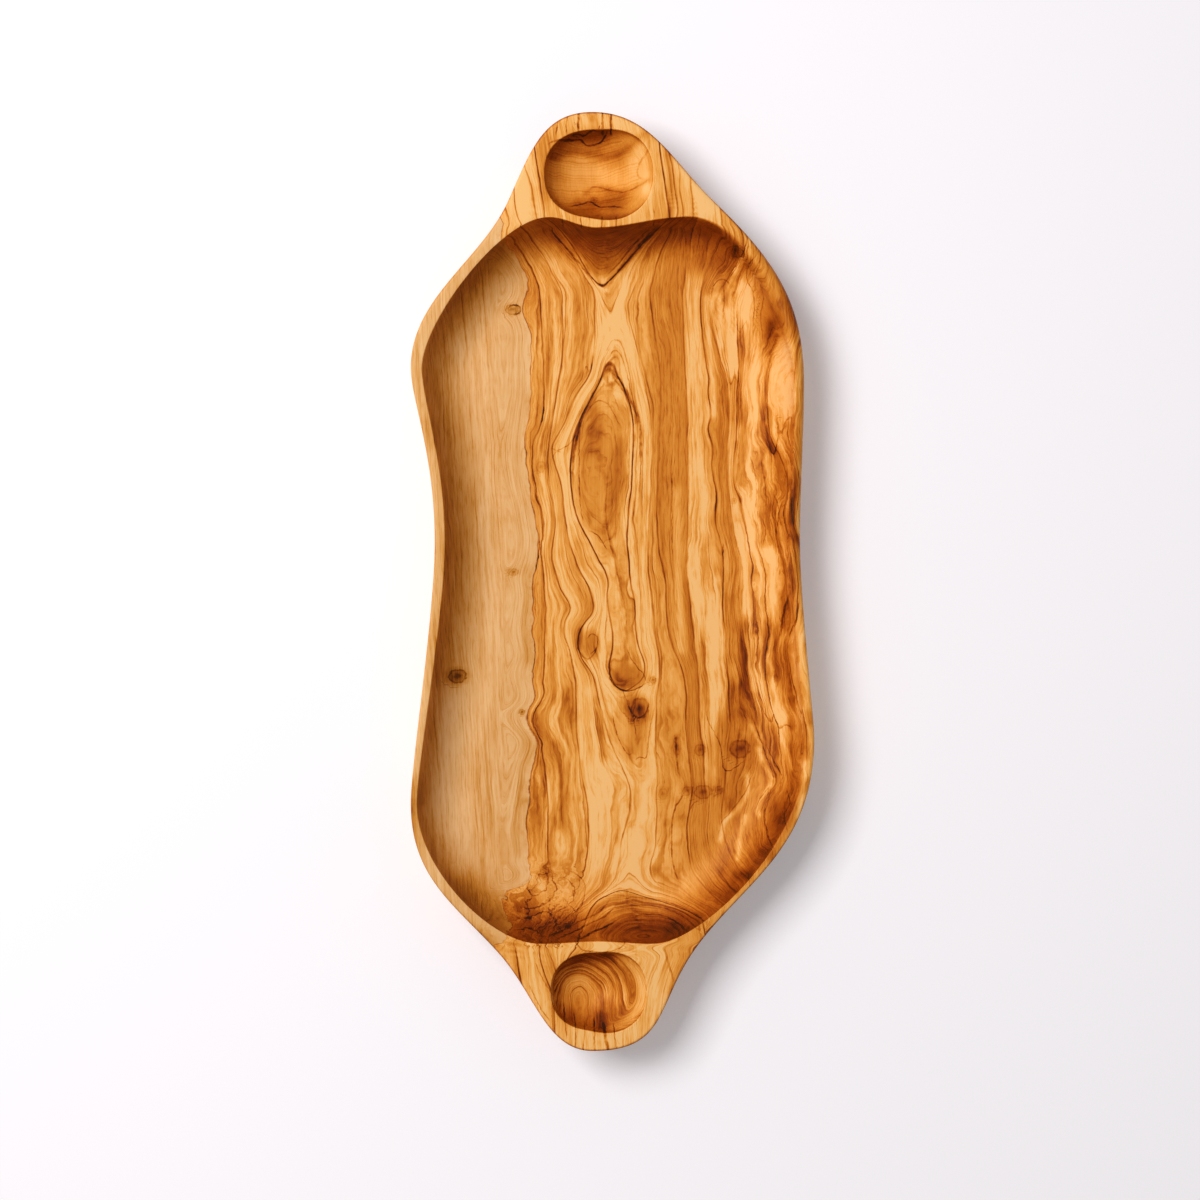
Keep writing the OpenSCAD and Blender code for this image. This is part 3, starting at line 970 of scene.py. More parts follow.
# Path and strength, and the width where it is not the usual one
CREASES = tuple(Crease(*look) for look in (
    # Round and under the tear-drop knot
    (((612, 655), (610, 672), (611, 681), (618, 688), (628, 691), (640, 687), (648, 681)), 0.5),
    (((626, 646), (632, 660), (643, 674), (647, 682)), 0.3),
    (((629, 699), (630, 709), (636, 717), (643, 716), (648, 708), (648, 698)), 0.4),
    (((611, 704), (615, 727), (622, 746), (629, 755), (633, 752)), 0.35),
    (((635, 762), (639, 757), (646, 758), (648, 746), (650, 728), (656, 700)), 0.35),
    (((622, 688), (626, 699), (634, 722), (637, 740)), 0.3),
    # Round the small eye
    (((592, 614), (582, 627), (578, 640), (579, 651), (588, 659), (596, 650), (601, 638)), 0.4, 0.8),
    (((585, 640), (592, 634), (598, 638), (595, 650), (589, 655)), 0.3),
    # Eye in the sapwood, and cracks beside it
    (((506, 310), (512, 305), (520, 307), (519, 314), (511, 314)), 0.7, 1.0),
    (((544, 406), (543, 415), (541, 424)), 0.8, 0.8),
    (((540, 538), (538, 557), (535, 572)), 0.7, 0.8),
    # Swirl left of the arch
    (((550, 448), (560, 450), (572, 441), (579, 430)), 0.3),
    (((552, 460), (556, 452), (563, 453)), 0.35),
    # Inside the arch
    (((611, 455), (607, 485), (606, 517), (610, 543), (615, 562), (622, 595), (626, 613),
      (627, 645)), 0.2, 1.0),
    (((580, 422), (579, 460), (580, 500), (584, 530)), 0.3),
    (((588, 530), (597, 535), (603, 543), (608, 552)), 0.4),
    (((583, 420), (590, 408), (598, 401), (607, 403), (614, 412)), 0.25, 0.9),
    (((612, 392), (616, 402), (620, 412)), 0.2),
    (((606, 398), (611, 408), (617, 420), (621, 428)), 0.22),
    # Over the arch
    (((610, 362), (600, 380), (592, 396), (582, 418), (576, 442), (573, 468), (575, 496)), 0.34, 1.5),
    (((608, 362), (612, 373), (621, 381), (630, 399), (639, 422), (640, 450), (636, 480)), 0.34, 1.4),
    (((608, 370), (616, 381), (624, 392), (631, 410), (634, 440), (631, 476), (628, 504)), 0.24, 0.9),
    (((600, 372), (610, 356), (616, 350), (625, 366), (632, 396), (641, 428), (640, 480),
      (636, 530)), 0.3),
    # Teeth of the brown wood left of the arch
    (((594, 352), (592, 364), (589, 372), (586, 366), (583, 376)), 0.3),
    # Round the large knot at the lower right, and the swirl past it
    (((707, 690), (707, 717), (715, 734), (720, 744), (723, 766), (728, 771), (739, 765),
      (747, 758)), 0.32),
    (((748, 705), (757, 730), (766, 755), (773, 778), (766, 790), (758, 802), (752, 822)), 0.32),
    (((764, 740), (773, 760), (781, 775), (778, 792)), 0.3),
    (((686, 790), (680, 800), (675, 808), (672, 824), (672, 857), (676, 875), (682, 886)), 0.36, 1.0),
    (((675, 735), (676, 745), (677, 762), (681, 782)), 0.3, 1.2),
    (((700, 798), (692, 806), (687, 820), (687, 842), (691, 868)), 0.22),
    (((747, 773), (750, 781), (744, 794), (734, 808), (722, 822), (717, 842)), 0.28),
    (((772, 782), (768, 800), (764, 815), (767, 835), (774, 852)), 0.3, 0.9),
    (((784, 785), (788, 800), (782, 815), (786, 832)), 0.25),
    # Jagged foot of the pale patch at the right
    (((760, 704), (766, 715), (771, 722), (774, 714), (779, 728), (785, 724), (792, 729)), 0.4, 0.9),
    # Zigzag foot of the outermost pale wood
    (((765, 425), (768, 442), (773, 455), (777, 438), (776, 419), (780, 436), (784, 424), (789, 419),
      (791, 435)), 0.32, 0.9),
    # Pale tear-drop at the upper right, the lines round it and the teeth below it
    (((747, 280), (740, 295), (737, 306), (737, 325), (740, 333), (743, 326), (749, 319)), 0.3),
    (((754, 246), (754, 260), (747, 269), (746, 281), (752, 293), (754, 307), (753, 318),
      (752, 350)), 0.34),
    (((747, 234), (744, 249), (740, 260), (734, 272), (727, 281)), 0.4),
    (((711, 303), (712, 289), (719, 280), (726, 281), (731, 288)), 0.3),
    (((758, 285), (762, 300), (760, 318), (763, 345)), 0.2),
    (((723, 286), (724, 296), (724, 306), (723, 322)), 0.26, 0.9),
    (((723, 352), (727, 372), (731, 385), (735, 374), (737, 390)), 0.22),
    (((741, 384), (740, 412)), 0.22, 1.2),
    (((734, 250), (734, 256)), 0.6),
    # Lines along the right
    (((748, 448), (755, 475), (756, 502), (752, 520)), 0.28),
    (((760, 456), (765, 486), (766, 512)), 0.26),
    (((772, 492), (778, 512), (774, 540)), 0.25),
    (((787, 474), (789, 496), (788, 520)), 0.2, 1.4),
    (((672, 455), (672, 568)), 0.2),
    (((723, 543), (723, 556)), 0.5),
    (((761, 516), (765, 530), (762, 548)), 0.3),
    (((789, 590), (784, 606), (781, 623), (778, 643)), 0.3, 1.2),
    (((796, 600), (793, 620), (787, 638)), 0.26, 1.0),
    # Upper handle, above the bowl
    (((559, 108), (556, 136)), 0.45, 0.9),
    (((568, 104), (566, 136)), 0.4, 0.9),
    (((579, 104), (578, 134)), 0.6, 1.5),
    (((602, 104), (603, 136)), 0.5, 1.3),
    (((611, 104), (611, 136)), 0.55, 1.3),
    # Upper handle, between bowl and tray
    (((561, 207), (563, 226)), 0.32),
    (((580, 213), (582, 230)), 0.42),
    (((589, 214), (589, 232)), 0.36),
    (((602, 214), (602, 232)), 0.34),
    (((616, 214), (616, 230)), 0.3),
    (((654, 208), (654, 226)), 0.3),
    # Upper bowl
    (((546, 146), (554, 141), (566, 139), (580, 138), (588, 143), (600, 140), (605, 134),
      (609, 127)), 0.46, 1.0),
    (((570, 136), (576, 133), (584, 134), (592, 130), (602, 132)), 0.4, 0.8),
    (((562, 206), (580, 202), (590, 199), (600, 205), (615, 205), (628, 208)), 0.4, 0.9),
    (((586, 189), (594, 183), (606, 186), (624, 190), (640, 184), (652, 177)), 0.2, 1.0),
    (((648, 132), (649, 148), (640, 162), (638, 174), (648, 181)), 0.18, 1.2),
    # Wing of end grain at the lower end
    (((612, 896), (600, 911), (580, 921), (560, 931), (545, 938)), 0.26, 0.9),
    (((617, 897), (647, 898), (674, 904), (697, 914), (716, 926)), 0.22, 1.0),
    (((618, 903), (606, 915), (588, 924), (572, 932), (553, 941)), 0.36, 1.0),
    (((614, 908), (647, 905), (674, 911), (689, 920), (706, 932)), 0.2, 0.9),
    (((621, 918), (606, 926), (588, 934), (574, 942)), 0.36, 1.0),
    (((618, 919), (652, 914), (674, 920), (690, 932)), 0.2, 1.0),
    # Edges of the V
    (((545, 223), (566, 247), (583, 268), (597, 286)), 0.34, 1.2),
    (((664, 221), (645, 240), (625, 264), (604, 287)), 0.34, 2.4),
    (((655, 222), (637, 241), (618, 264), (603, 279)), 0.2, 1.0),
    # Burl
    (((532, 868), (528, 884), (532, 895), (543, 892), (548, 879), (543, 868)), 0.36, 0.9),
    (((549, 858), (553, 879), (556, 890), (547, 902), (531, 908), (516, 905)), 0.4, 1.0),
    (((562, 866), (582, 879), (585, 892), (580, 908), (567, 918)), 0.3),
    (((558, 872), (572, 884), (574, 897), (566, 908), (551, 913)), 0.32),
    (((512, 915), (528, 918), (544, 912), (556, 920), (552, 932)), 0.4, 0.9),
    (((514, 930), (530, 928), (541, 934)), 0.36),
    (((536, 872), (541, 880), (538, 887)), 0.3),
    (((563, 897), (570, 905), (578, 914)), 0.3),
    # Pale inclusion in the lower handle
    (((574, 938), (577, 944), (584, 950), (603, 952), (618, 949), (625, 943), (622, 938)), 0.4, 0.8),
    # Lower handle, left
    (((532, 940), (536, 965), (546, 985), (556, 1000)), 0.3),
    (((527, 980), (540, 1007), (551, 1022)), 0.35),
    # Lower handle, below the bowl
    (((563, 1002), (565, 1023), (567, 1040)), 0.36),
    (((573, 1010), (576, 1035), (574, 1055)), 0.36),
    (((585, 1022), (583, 1056)), 0.36),
    (((594, 1018), (595, 1056)), 0.36, 1.0),
    (((603, 1022), (609, 1056)), 0.5, 1.8),
    (((613, 1022), (617, 1053)), 0.36),
    # Lower handle, right
    (((663, 944), (668, 962), (675, 985)), 0.26, 1.2),
))

# Path, half-width, tone and strength
STREAKS_AND_PAINTED_LIGHT = tuple(Streak(*look) for look in (
    # Pale saddle over the arch, and pale wood under it
    (((617, 300), (619, 350)), 24, PALE, 0.08),
    (((606, 770), (610, 860)), 16, PALE, 0.24),
    # Arch: thick dark legs
    (((608, 366), (595, 391), (582, 418), (576, 441)), 2.4, DARK, 0.3),
    (((609, 369), (620, 383), (630, 402), (636, 422)), 2.4, DARK, 0.28),
    # Island: pale cap, brown left half, red streak
    (((606, 386), (608, 402)), 12, PALE, 0.16),
    (((594, 412), (590, 450)), 9, DARK, 0.22),
    (((621, 440), (615, 480), (612, 520)), 5, DARK, 0.14),
    (((626, 430), (628, 470)), 4, PALE, 0.14),
    # Brown strokes in the left heartwood
    (((575, 290), (580, 330), (576, 360), (566, 385)), 8, DARK, 0.12),
    (((548, 300), (549, 345), (546, 380)), 6, DARK, 0.12),
    (((546, 430), (541, 445), (544, 465)), 8, DARK, 0.16),
    (((575, 545), (577, 565)), 6, DARK, 0.18),
    (((552, 600), (549, 650), (555, 700)), 6, DARK, 0.12),
    (((566, 690), (570, 725)), 5, DARK, 0.12),
    (((556, 745), (561, 785), (560, 825)), 6, DARK, 0.28),
    (((536, 720), (540, 760)), 6, DARK, 0.16),
    (((590, 690), (598, 740), (612, 780)), 5, PALE, 0.12),
    (((566, 480), (572, 520)), 4, PALE, 0.14),
    (((596, 700), (606, 735)), 5, DARK, 0.14),
    # Broad brown band: the pale stripe in its lower half
    (((677, 490), (678, 560), (681, 650)), 5, PALE, 0.22),
    (((699, 480), (701, 540), (704, 620), (708, 700)), 5, DARK, 0.16),
    # Upper right: pale strokes, brown teeth, tear-drop and flames
    (((696, 292), (698, 345)), 3, PALE, 0.1),
    (((707, 298), (709, 340), (713, 385), (713, 415)), 3.5, PALE, 0.3),
    (((719, 296), (721, 345)), 3, PALE, 0.28),
    (((776, 338), (769, 360), (765, 388), (763, 420)), 2.2, DARK, 0.3),
    (((729, 312), (731, 350), (731, 376)), 5, PALE, 0.26),
    (((746, 290), (743, 316)), 6, PALE, 0.3),
    (((734, 380), (738, 418)), 8, DARK, 0.26),
    (((734, 294), (733, 332)), 2.2, DARK, 0.2),
    (((724, 284), (724, 300)), 3, DARK, 0.18),
    (((743, 338), (746, 356)), 6.5, DARK, 0.24),
    (((756, 394), (756, 418)), 4, PALE, 0.16),
    (((771, 325), (767, 352)), 5, DARK, 0.24),
    (((760, 262), (772, 300), (774, 330)), 14, DARK, 0.16),
    (((767, 408), (769, 440), (773, 452)), 3.5, DARK, 0.28),
    (((788, 340), (785, 405)), 10, PALE, 0.14),
    (((786, 428), (788, 462)), 5, DARK, 0.28),
    (((740, 262), (734, 273)), 2.5, PALE, 0.4),
    # Right: dotted brown stripe, pale strips, red-brown streak, orange strokes
    (((736, 443), (734, 486), (740, 500)), 2.5, DARK, 0.2),
    (((745, 480), (750, 518), (751, 546)), 4.5, PALE, 0.2),
    (((769, 455), (770, 486)), 4, PALE, 0.16),
    (((788, 474), (789, 522)), 4, DARK, 0.18),
    (((757, 516), (764, 546)), 3.5, DARK, 0.26),
    (((772, 508), (778, 546)), 5, DARK, 0.26),
    (((796, 538), (798, 545)), 4, DARK, 0.3),
    (((737, 524), (743, 552), (747, 612)), 2.2, PALE, 0.3),
    (((768, 556), (768, 600), (760, 640)), 9, PALE, 0.26),
    (((788, 552), (789, 590), (784, 626)), 7, DARK, 0.3),
    (((746, 626), (747, 660), (744, 682)), 8, DARK, 0.34),
    (((736, 690), (740, 712)), 9, DARK, 0.24),
    (((730, 600), (731, 660)), 5, DARK, 0.14),
    (((716, 580), (715, 620), (717, 664)), 4.5, PALE, 0.18),
    (((769, 634), (776, 660), (784, 696)), 13, DARK, 0.3),
    (((786, 645), (787, 688)), 4, DARK, 0.2),
    (((772, 686), (782, 714)), 9, PALE, 0.34),
    (((788, 700), (791, 726)), 4, DARK, 0.24),
    # Lower right: flames, mottled wall and orange rim
    (((720, 840), (724, 822), (737, 810), (744, 799), (748, 790), (747, 774)), 2.6, PALE, 0.34),
    (((759, 815), (757, 806), (763, 794), (772, 780), (764, 765), (758, 749)), 2.4, PALE, 0.38),
    (((737, 858), (739, 842), (742, 826), (745, 816)), 2.6, PALE, 0.34),
    (((751, 725), (760, 744), (764, 760)), 1.6, PALE, 0.34),
    (((757, 726), (764, 742), (770, 760)), 1.4, PALE, 0.28),
    (((780, 735), (786, 750), (791, 768)), 1.8, PALE, 0.28),
    (((793, 752), (791, 790), (779, 830), (756, 866), (726, 900)), 12, DARK, 0.08),
    (((803, 760), (799, 800), (783, 844), (757, 876), (728, 906)), 4.5, PALE, 0.3),
    (((656, 850), (658, 880)), 6, PALE, 0.16),
    (((736, 812), (738, 835)), 4, DARK, 0.14),
    (((780, 742), (790, 780), (785, 815)), 13, DARK, 0.15),
    (((755, 696), (764, 740), (774, 770)), 9, DARK, 0.2),
    (((728, 776), (732, 800)), 12, DARK, 0.12),
    (((728, 850), (722, 870)), 6, DARK, 0.14),
    (((770, 800), (776, 825), (774, 848)), 11, DARK, 0.18),
    (((789, 790), (792, 820)), 8, DARK, 0.12),
    (((760, 850), (768, 856)), 7, DARK, 0.16),
    (((735, 874), (748, 873)), 5, DARK, 0.16),
    (((742, 848), (742, 864)), 6, PALE, 0.12),
    (((786, 748), (790, 780)), 9, DARK, 0.14),
    (((806, 712), (807, 720)), 5, DARK, 0.2),
    (((804, 780), (802, 788)), 5, DARK, 0.24),
    # Painted highlight: the soft sheen on the floor at the foot of the lower end wall
    (((700, 866), (690, 886)), 12, PALE, 0.1),
    (((678, 878), (680, 884)), 3, DARK, 0.12),
    (((676, 738), (677, 750)), 3, DARK, 0.2),
    # Rim at the right: browner wood, with painted shade where the rounded edge turns from the lamp
    (((788, 296), (792, 330), (796, 380), (796, 440), (793, 500), (790, 540)), 6, DARK, 0.34),
    # Dark end of the upper right, V and wing
    (((690, 236), (706, 240), (722, 258)), 15, DARK, 0.08),
    (((697, 262), (722, 265)), 9, DARK, 0.08),
    (((570, 228), (600, 238), (640, 228)), 20, DARK, 0.08),
    (((600, 255), (602, 272)), 12, DARK, 0.08),
    (((635, 912), (697, 928)), 17, DARK, 0.19),
    (((583, 926), (612, 908)), 4, PALE, 0.22),
    # Burl
    (((518, 900), (540, 922), (565, 926)), 17, DARK, 0.18),
    (((539, 880), (542, 888)), 5, PALE, 0.16),
    # Shell of the tear-drop knot, and the small eye
    (((620, 684), (632, 685)), 5, DARK, 0.16),
    (((580, 630), (579, 648)), 3, DARK, 0.24),
    (((636, 702), (643, 716)), 9, DARK, 0.2),
    (((626, 700), (636, 728), (634, 752)), 8, DARK, 0.18),
    # Bowls: darker wood, and in the upper bowl a painted highlight and painted light on the right wall
    (((549, 140), (550, 190)), 13, DARK, 0.22),
    (((570, 134), (602, 134)), 8, DARK, 0.16),
    (((552, 155), (576, 149), (604, 153), (625, 149), (644, 134)), 4, DARK, 0.2),
    (((580, 200), (600, 202), (622, 198)), 7, DARK, 0.16),
    (((586, 189), (598, 184), (624, 190), (648, 180)), 3, DARK, 0.16),
    # Painted highlight in the middle of the upper bowl, and painted light on its right wall, which faces the
    # lamp
    (((588, 166), (620, 172)), 11, PALE, 0.05),
    (((640, 150), (645, 185)), 10, PALE, 0.16),
    (((556, 965), (560, 1000), (572, 1015)), 11, DARK, 0.16),
    (((575, 958), (610, 962)), 7, DARK, 0.2),
    (((601, 1018), (602, 1028)), 6, DARK, 0.3),
    # Brown stripes of the lower handle and of the upper one
    (((512, 944), (519, 978)), 4, DARK, 0.28),
    (((540, 946), (548, 975), (556, 992)), 4, DARK, 0.14),
    (((686, 950), (677, 990)), 6, DARK, 0.22),
    (((605, 106), (606, 132)), 6, DARK, 0.14),
    (((667, 146), (671, 180), (670, 216)), 3.2, DARK, 0.36),
    (((694, 176), (697, 214)), 3.5, DARK, 0.18),
    (((529, 166), (535, 216)), 3, DARK, 0.1),
    # Pale wood on the handles
    (((684, 160), (712, 205)), 12, PALE, 0.24),
    (((524, 170), (526, 212)), 12, PALE, 0.22),
    (((598, 946), (606, 946)), 7, PALE, 0.14),
    # Foot of the left wall, lit by the lamp
    (((450, 700), (444, 780), (458, 860)), 18, PALE, 0.28),
    # Left rim: a brown patch, and browner towards the lower end
    (((429, 425), (434, 445)), 6, DARK, 0.2),
    (((446, 480), (445, 600), (437, 700), (424, 800)), 6, DARK, 0.12),
    # Sapwood: discoloured beside the heartwood, browner at the lower end; painted shade on the lower left
    # rim
    (((527, 570), (528, 610), (528, 660)), 6, DARK, 0.16),
    (((528, 745), (522, 800), (518, 850)), 6, DARK, 0.14),
    (((470, 780), (485, 860)), 26, DARK, 0.1),
    # Painted shade: the lower left rim's edge turns from the lamp
    (((412, 780), (420, 870), (450, 910), (490, 942)), 8, DARK, 0.38),
))

# Where the bands give way to plain brown wood: column, row, half-sizes, share and tone
PLAIN_PARTS = tuple(PlainPart(*look) for look in (
    # Dark end of the upper right, and the speckled wall beside it
    (708, 248, 44, 34, 1.0, 0.47),
    (778, 300, 36, 52, 0.8),
    (780, 378, 13, 48, 0.9, 0.16),
    # Inside of the V
    (606, 228, 62, 18, 1.0, 0.42),
    (605, 247, 42, 16, 1.0, 0.42),
    (603, 264, 24, 14, 0.9, 0.44),
    # Island under the arch
    (603, 460, 24, 80, 1.0, 0.38),
    # Middle of the broad brown band
    (669, 400, 19, 190, 0.7, 0.46),
    # Lower right, past the knots
    (742, 748, 38, 46, 0.85, 0.46),
    (744, 826, 60, 76, 0.9, 0.43),
    (690, 880, 40, 40, 0.6),
    # Inside of the large knot
    (740, 748, 13, 11, 1.0, 0.48),
    # Foot of the wing
    (652, 934, 46, 12, 1.0, 0.46),
    # Burl
    (540, 918, 40, 32, 0.6, 0.44),
    (560, 886, 32, 36, 0.7, 0.36),
    # Tear-drop knot, the ragged wood under it, and the small eye
    (629, 677, 20, 14, 1.0, 0.5),
    (632, 728, 23, 38, 0.8, 0.33),
    (590, 644, 12, 18, 0.9, 0.46),
))

# Column, row, half-sizes, push and weight
KNOTS = tuple(Knot(*look) for look in (
    (640, 708, 8, 9, 1.5, 1.0),
    (653, 680, 3, 3, 0.8),
    (458, 676, 8, 6, 1.0, 1.7),
    (512, 309.5, 6, 4.5, 1.5, 1.2),
    (513, 572, 5, 3, 0.8, 0.9),
    (541, 467, 4, 5, 1.0, 0.6),
    (522, 712, 2.5, 2.5, 0.6, 1.4),
    (740, 749, 9, 8, 2.0, 0.95),
    (700, 750, 5, 5, 1.0, 0.7),
    (703, 792, 8, 6, 1.2, 0.8),
    (719, 790, 3.5, 3.5, 0.8, 0.7),
    (663, 794, 4, 5, 0.8, 0.5),
    (687, 791, 4, 4, 0.6, 0.6),
    (677, 746, 4, 8, 0.6, 0.5),
    (734, 501, 2.5, 2.5, 0.3, 0.6),
    (545, 874, 5, 5, 1.5, 0.5),
    (594, 197, 3, 3, 1.0, 0.6),
    (734, 254, 3, 4, 1.0, 0.7),
))


# Lines that the growth arcs of the upper and lower bowl curve round: column, upper row and lower row
BOWL_HEARTS = ((580, 10, 20), (580, 1000, 1060))
# Number of the band whose tone the upper and lower bowl have
BOWL_BANDS = (1.12, 1.4)
# Radius in millimetres of the ring whose dark line draws the arch
ARCH_RING = 31.7


@dataclass(frozen=True)
class Plank:
    """The olive plank: rings round its pith, and the lines, streaks and knots that break them. Some streaks
    are painted light and shade.

    Lengths are in millimetres. A span holds the two values between which something grows from none to
    its full share.
    """

    view: PlanView
    bowls: tuple[DipBowl, DipBowl]

    # Rings: those inside the growth lines, the wood outside them, and the radius where there is none
    heart_ring: float = 24.0
    arch_growth: float = 13.0
    outer_growth: float = 60.0
    inner_rings: int = 3
    least_growth: float = 0.5
    least_slope: float = 0.02
    unreached: float = 500.0
    pith_sides: Span = (-4.0, 4.0)

    # Marks: steps between two points of a path, how far a mark reaches and how it fades
    curve_steps: int = 6
    crease_reach: float = 2.4
    crease_fade: float = 0.2
    no_crease: Size = (1000.0, 0.0, 1.0)
    streak_reach: float = 2.5
    plain_edge: Span = (1.15, 0.55)

    # Knots, in their half-sizes: how far one is drawn, and how far the growth parts across and along
    knot_reach: float = 2.2
    knot_parting: Span = (2.2, 2.6)
    knot_softness: float = 0.4
    no_knot: Size = (9.0, 9.0, 0.0)

    # Sapwood: depth where there is none, where its growth is straight and calm, and the heartwood beside
    no_sap: float = -50.0
    straight_sap: Span = (0.0, 14.0)
    sap_lean: float = 0.06
    calm_sap: Span = (0.0, 6.0)
    sap_less_curl: float = 0.25
    sap_still: float = 0.7
    heart_edge: Span = (3.0, 0.0)

    # Curly wood: beside the sapwood, along the right and in the burl
    edge_curl: float = 5.0
    right_curl: float = 0.55
    right_curl_x: Span = (56.0, 76.0)
    burl_x: Span = (-10.0, -24.0)
    burl_upper_y: Span = (-136.0, -150.0)
    burl_lower_y: Span = (-184.0, -182.0)

    # Bowls: how far out they reach, in shares of their size, and how they soften the growth
    bowl_edge: float = 1.12
    bowl_z: Span = (35.6, 31.0)
    bowl_calm: float = 3.0
    bowl_curl: float = 0.4
    bowl_still: float = 0.8

    # How much more or less the seasons show than on the floor
    handle_z: Span = (35.5, 35.9)
    handle_y: Span = (165.0, 175.0)
    handle_seasons: float = -0.4
    burl_seasons: float = 0.8
    bowl_seasons: Span = (-0.88, 0.5)
    bowl_edge_seasons: float = -3.0
    right_seasons: float = 0.5
    right_seasons_x: Span = (50.0, 66.0)

    # Plain rim at the lower right
    plain_rim_z: Span = (35.2, 35.9)
    plain_rim_x: Span = (30.0, 45.0)
    plain_rim_y: Span = (-60.0, -110.0)
    plain_rim_tone: float = 0.24

    def along(self, y: Array, known: dict) -> list[Array]:
        """Reads smooth curves that run along the dish.

        Args:
            y: Places along the dish.
            known: Column, or column and further values, in some rows from the upper end to the lower.

        Returns:
            The place across, and each further value, at each place along.
        """
        rows = np.array(list(known), float)[::-1]
        columns, *values = np.array(list(known.values()), float)[::-1].reshape(len(rows), -1).T
        across, stations = self.view.place(columns, rows).T
        return [spline(y, stations, value) for value in (across, *values)]

    def rings(self, y: Array, side: Side) -> list[tuple[Array, float]]:
        """Lists the growth rings of one side, from the pith outwards.

        A line's distance from the pith follows from its place across, and from the height of the
        surface where it is seen.

        Args:
            y: Places along the dish.
            side: The side.

        Returns:
            For each ring its radius at each place and its usual growth.
        """
        across, lift = self.along(y, PITH)
        down = self.view.floor_height + lift - self.view.height_along(y)
        found = [
            (np.zeros_like(y), 0.0),
            (np.full_like(y, self.heart_ring), self.heart_ring),
            (np.full_like(y, ARCH_RING), self.arch_growth),
        ]
        for line in side.value:
            radius = np.hypot(self.along(y, line.columns)[0] - across, down)
            found.append((np.maximum(radius, found[-1][0] + self.least_growth), line.growth))
        found.append((found[-1][0] + self.outer_growth, self.outer_growth))
        return found

    def path(self, points: Points) -> Array:
        """Draws a smooth path.

        Args:
            points: The (column, row) points that it passes.

        Returns:
            Plan points along it.
        """
        corners = np.array(points, float)
        stations = np.arange(len(corners), dtype=float)
        fine = np.linspace(0, stations[-1], self.curve_steps * (len(corners) - 1) + 1)
        return self.view.place(*(spline(fine, stations, values) for values in corners.T))

    @staticmethod
    def beside(place: Array, path: Array, reach: float) -> tuple[Array, Array, Array]:
        """Finds where the points near a path of straight steps lie beside it, in the plan.

        Args:
            place: Plan points.
            path: Points of the path.
            reach: Distance from the path's box within which a point is measured.

        Returns:
            Numbers of the points near the path, their shortest distance, more than zero on the path's
            left, and the share of the path passed there.
        """
        near = np.all((place > path.min(axis=0) - reach) & (place < path.max(axis=0) + reach), axis=1)
        near = np.flatnonzero(near)
        nearest, share = np.full(len(near), np.inf), np.zeros(len(near))
        for i, (start, end) in enumerate(zip(path, path[1:])):
            step, away = end - start, place[near] - start
            passed = np.clip(away @ step / (step @ step), 0, 1)
            distance = np.linalg.norm(away - passed[:, None] * step, axis=1)
            signed = np.copysign(distance, step[0] * away[:, 1] - step[1] * away[:, 0])
            closer = distance < np.abs(nearest)
            nearest = np.where(closer, signed, nearest)
            share = np.where(closer, (i + passed) / (len(path) - 1), share)
        return near, nearest, share

    def offsets(self, place: Array, oval: Knot | PlainPart) -> Array:
        """Offsets of points from the middle of a knot or plain part, in its half-sizes."""
        middle = self.view.place(np.array([oval.column]), np.array([oval.row]))
        return (place - middle) / (np.array((oval.half_width, oval.half_length)) * self.view.mm_per_pixel)

    def part_round_knots(self, place: Array) -> Array:
        """Moves places across the dish as the growth parts round the knots.

        The shift is a bell curve of the distance from the knot, and softly changes sides at its middle.

        Args:
            place: Plan points.

        Returns:
            The place across that each point's growth line has where no knot is near.
        """
        shift = np.zeros(len(place))
        wide, long = self.knot_parting
        for knot in KNOTS:
            dx, dy = self.offsets(place, knot).T
            near = np.exp(-((dx / wide) ** 2) - (dy / long) ** 2)
            shift -= knot.push * near * dx / (np.abs(dx) + self.knot_softness)
        return place[:, 0] + shift

    def nearest_knot(self, place: Array) -> Array:
        """Finds each point's place in its nearest knot.

        Args:
            place: Plan points.

        Returns:
            Offsets in the knot's half-sizes, and the knot's weight.
        """
        best = np.tile(self.no_knot, (len(place), 1))
        for knot in KNOTS:
            off = self.offsets(place, knot)
            size = np.linalg.norm(off, axis=1)
            closer = size < np.minimum(np.linalg.norm(best[:, :2], axis=1), self.knot_reach)
            found = np.column_stack([off, np.full(len(off), knot.weight)])
            best = np.where(closer[:, None], found, best)
        return best

    def strokes_and_painted_light(self, place: Array) -> Array:
        """Adds up the soft strokes, each fading as a bell curve of the distance to its path. Some strokes
        are painted light and shade.

        Args:
            place: Plan points.

        Returns:
            How much darker the colour is there, from the wood's own streaks and from painted light and
            shade.
        """
        total = np.zeros(len(place))
        for streak in STREAKS_AND_PAINTED_LIGHT:
            reach = streak.half_width * self.view.mm_per_pixel
            near, away, _ = self.beside(place, self.path(streak.points), self.streak_reach * reach)
            total[near] += streak.tone.value * streak.strength * np.exp(-((away / reach) ** 2))
        return total

    def plain(self, place: Array) -> tuple[Array, Array]:
        """Finds the plain wood, from the oval that gives most, fading towards its edge.

        Args:
            place: Plan points.

        Returns:
            Share of plain wood and its tone.
        """
        most, tone = np.zeros(len(place)), np.full(len(place), PlainPart.tone)
        for part in PLAIN_PARTS:
            share = part.share * smooth(*self.plain_edge, np.linalg.norm(self.offsets(place, part), axis=1))
            tone = np.where(share > most, part.tone, tone)
            most = np.maximum(most, share)
        return most, tone

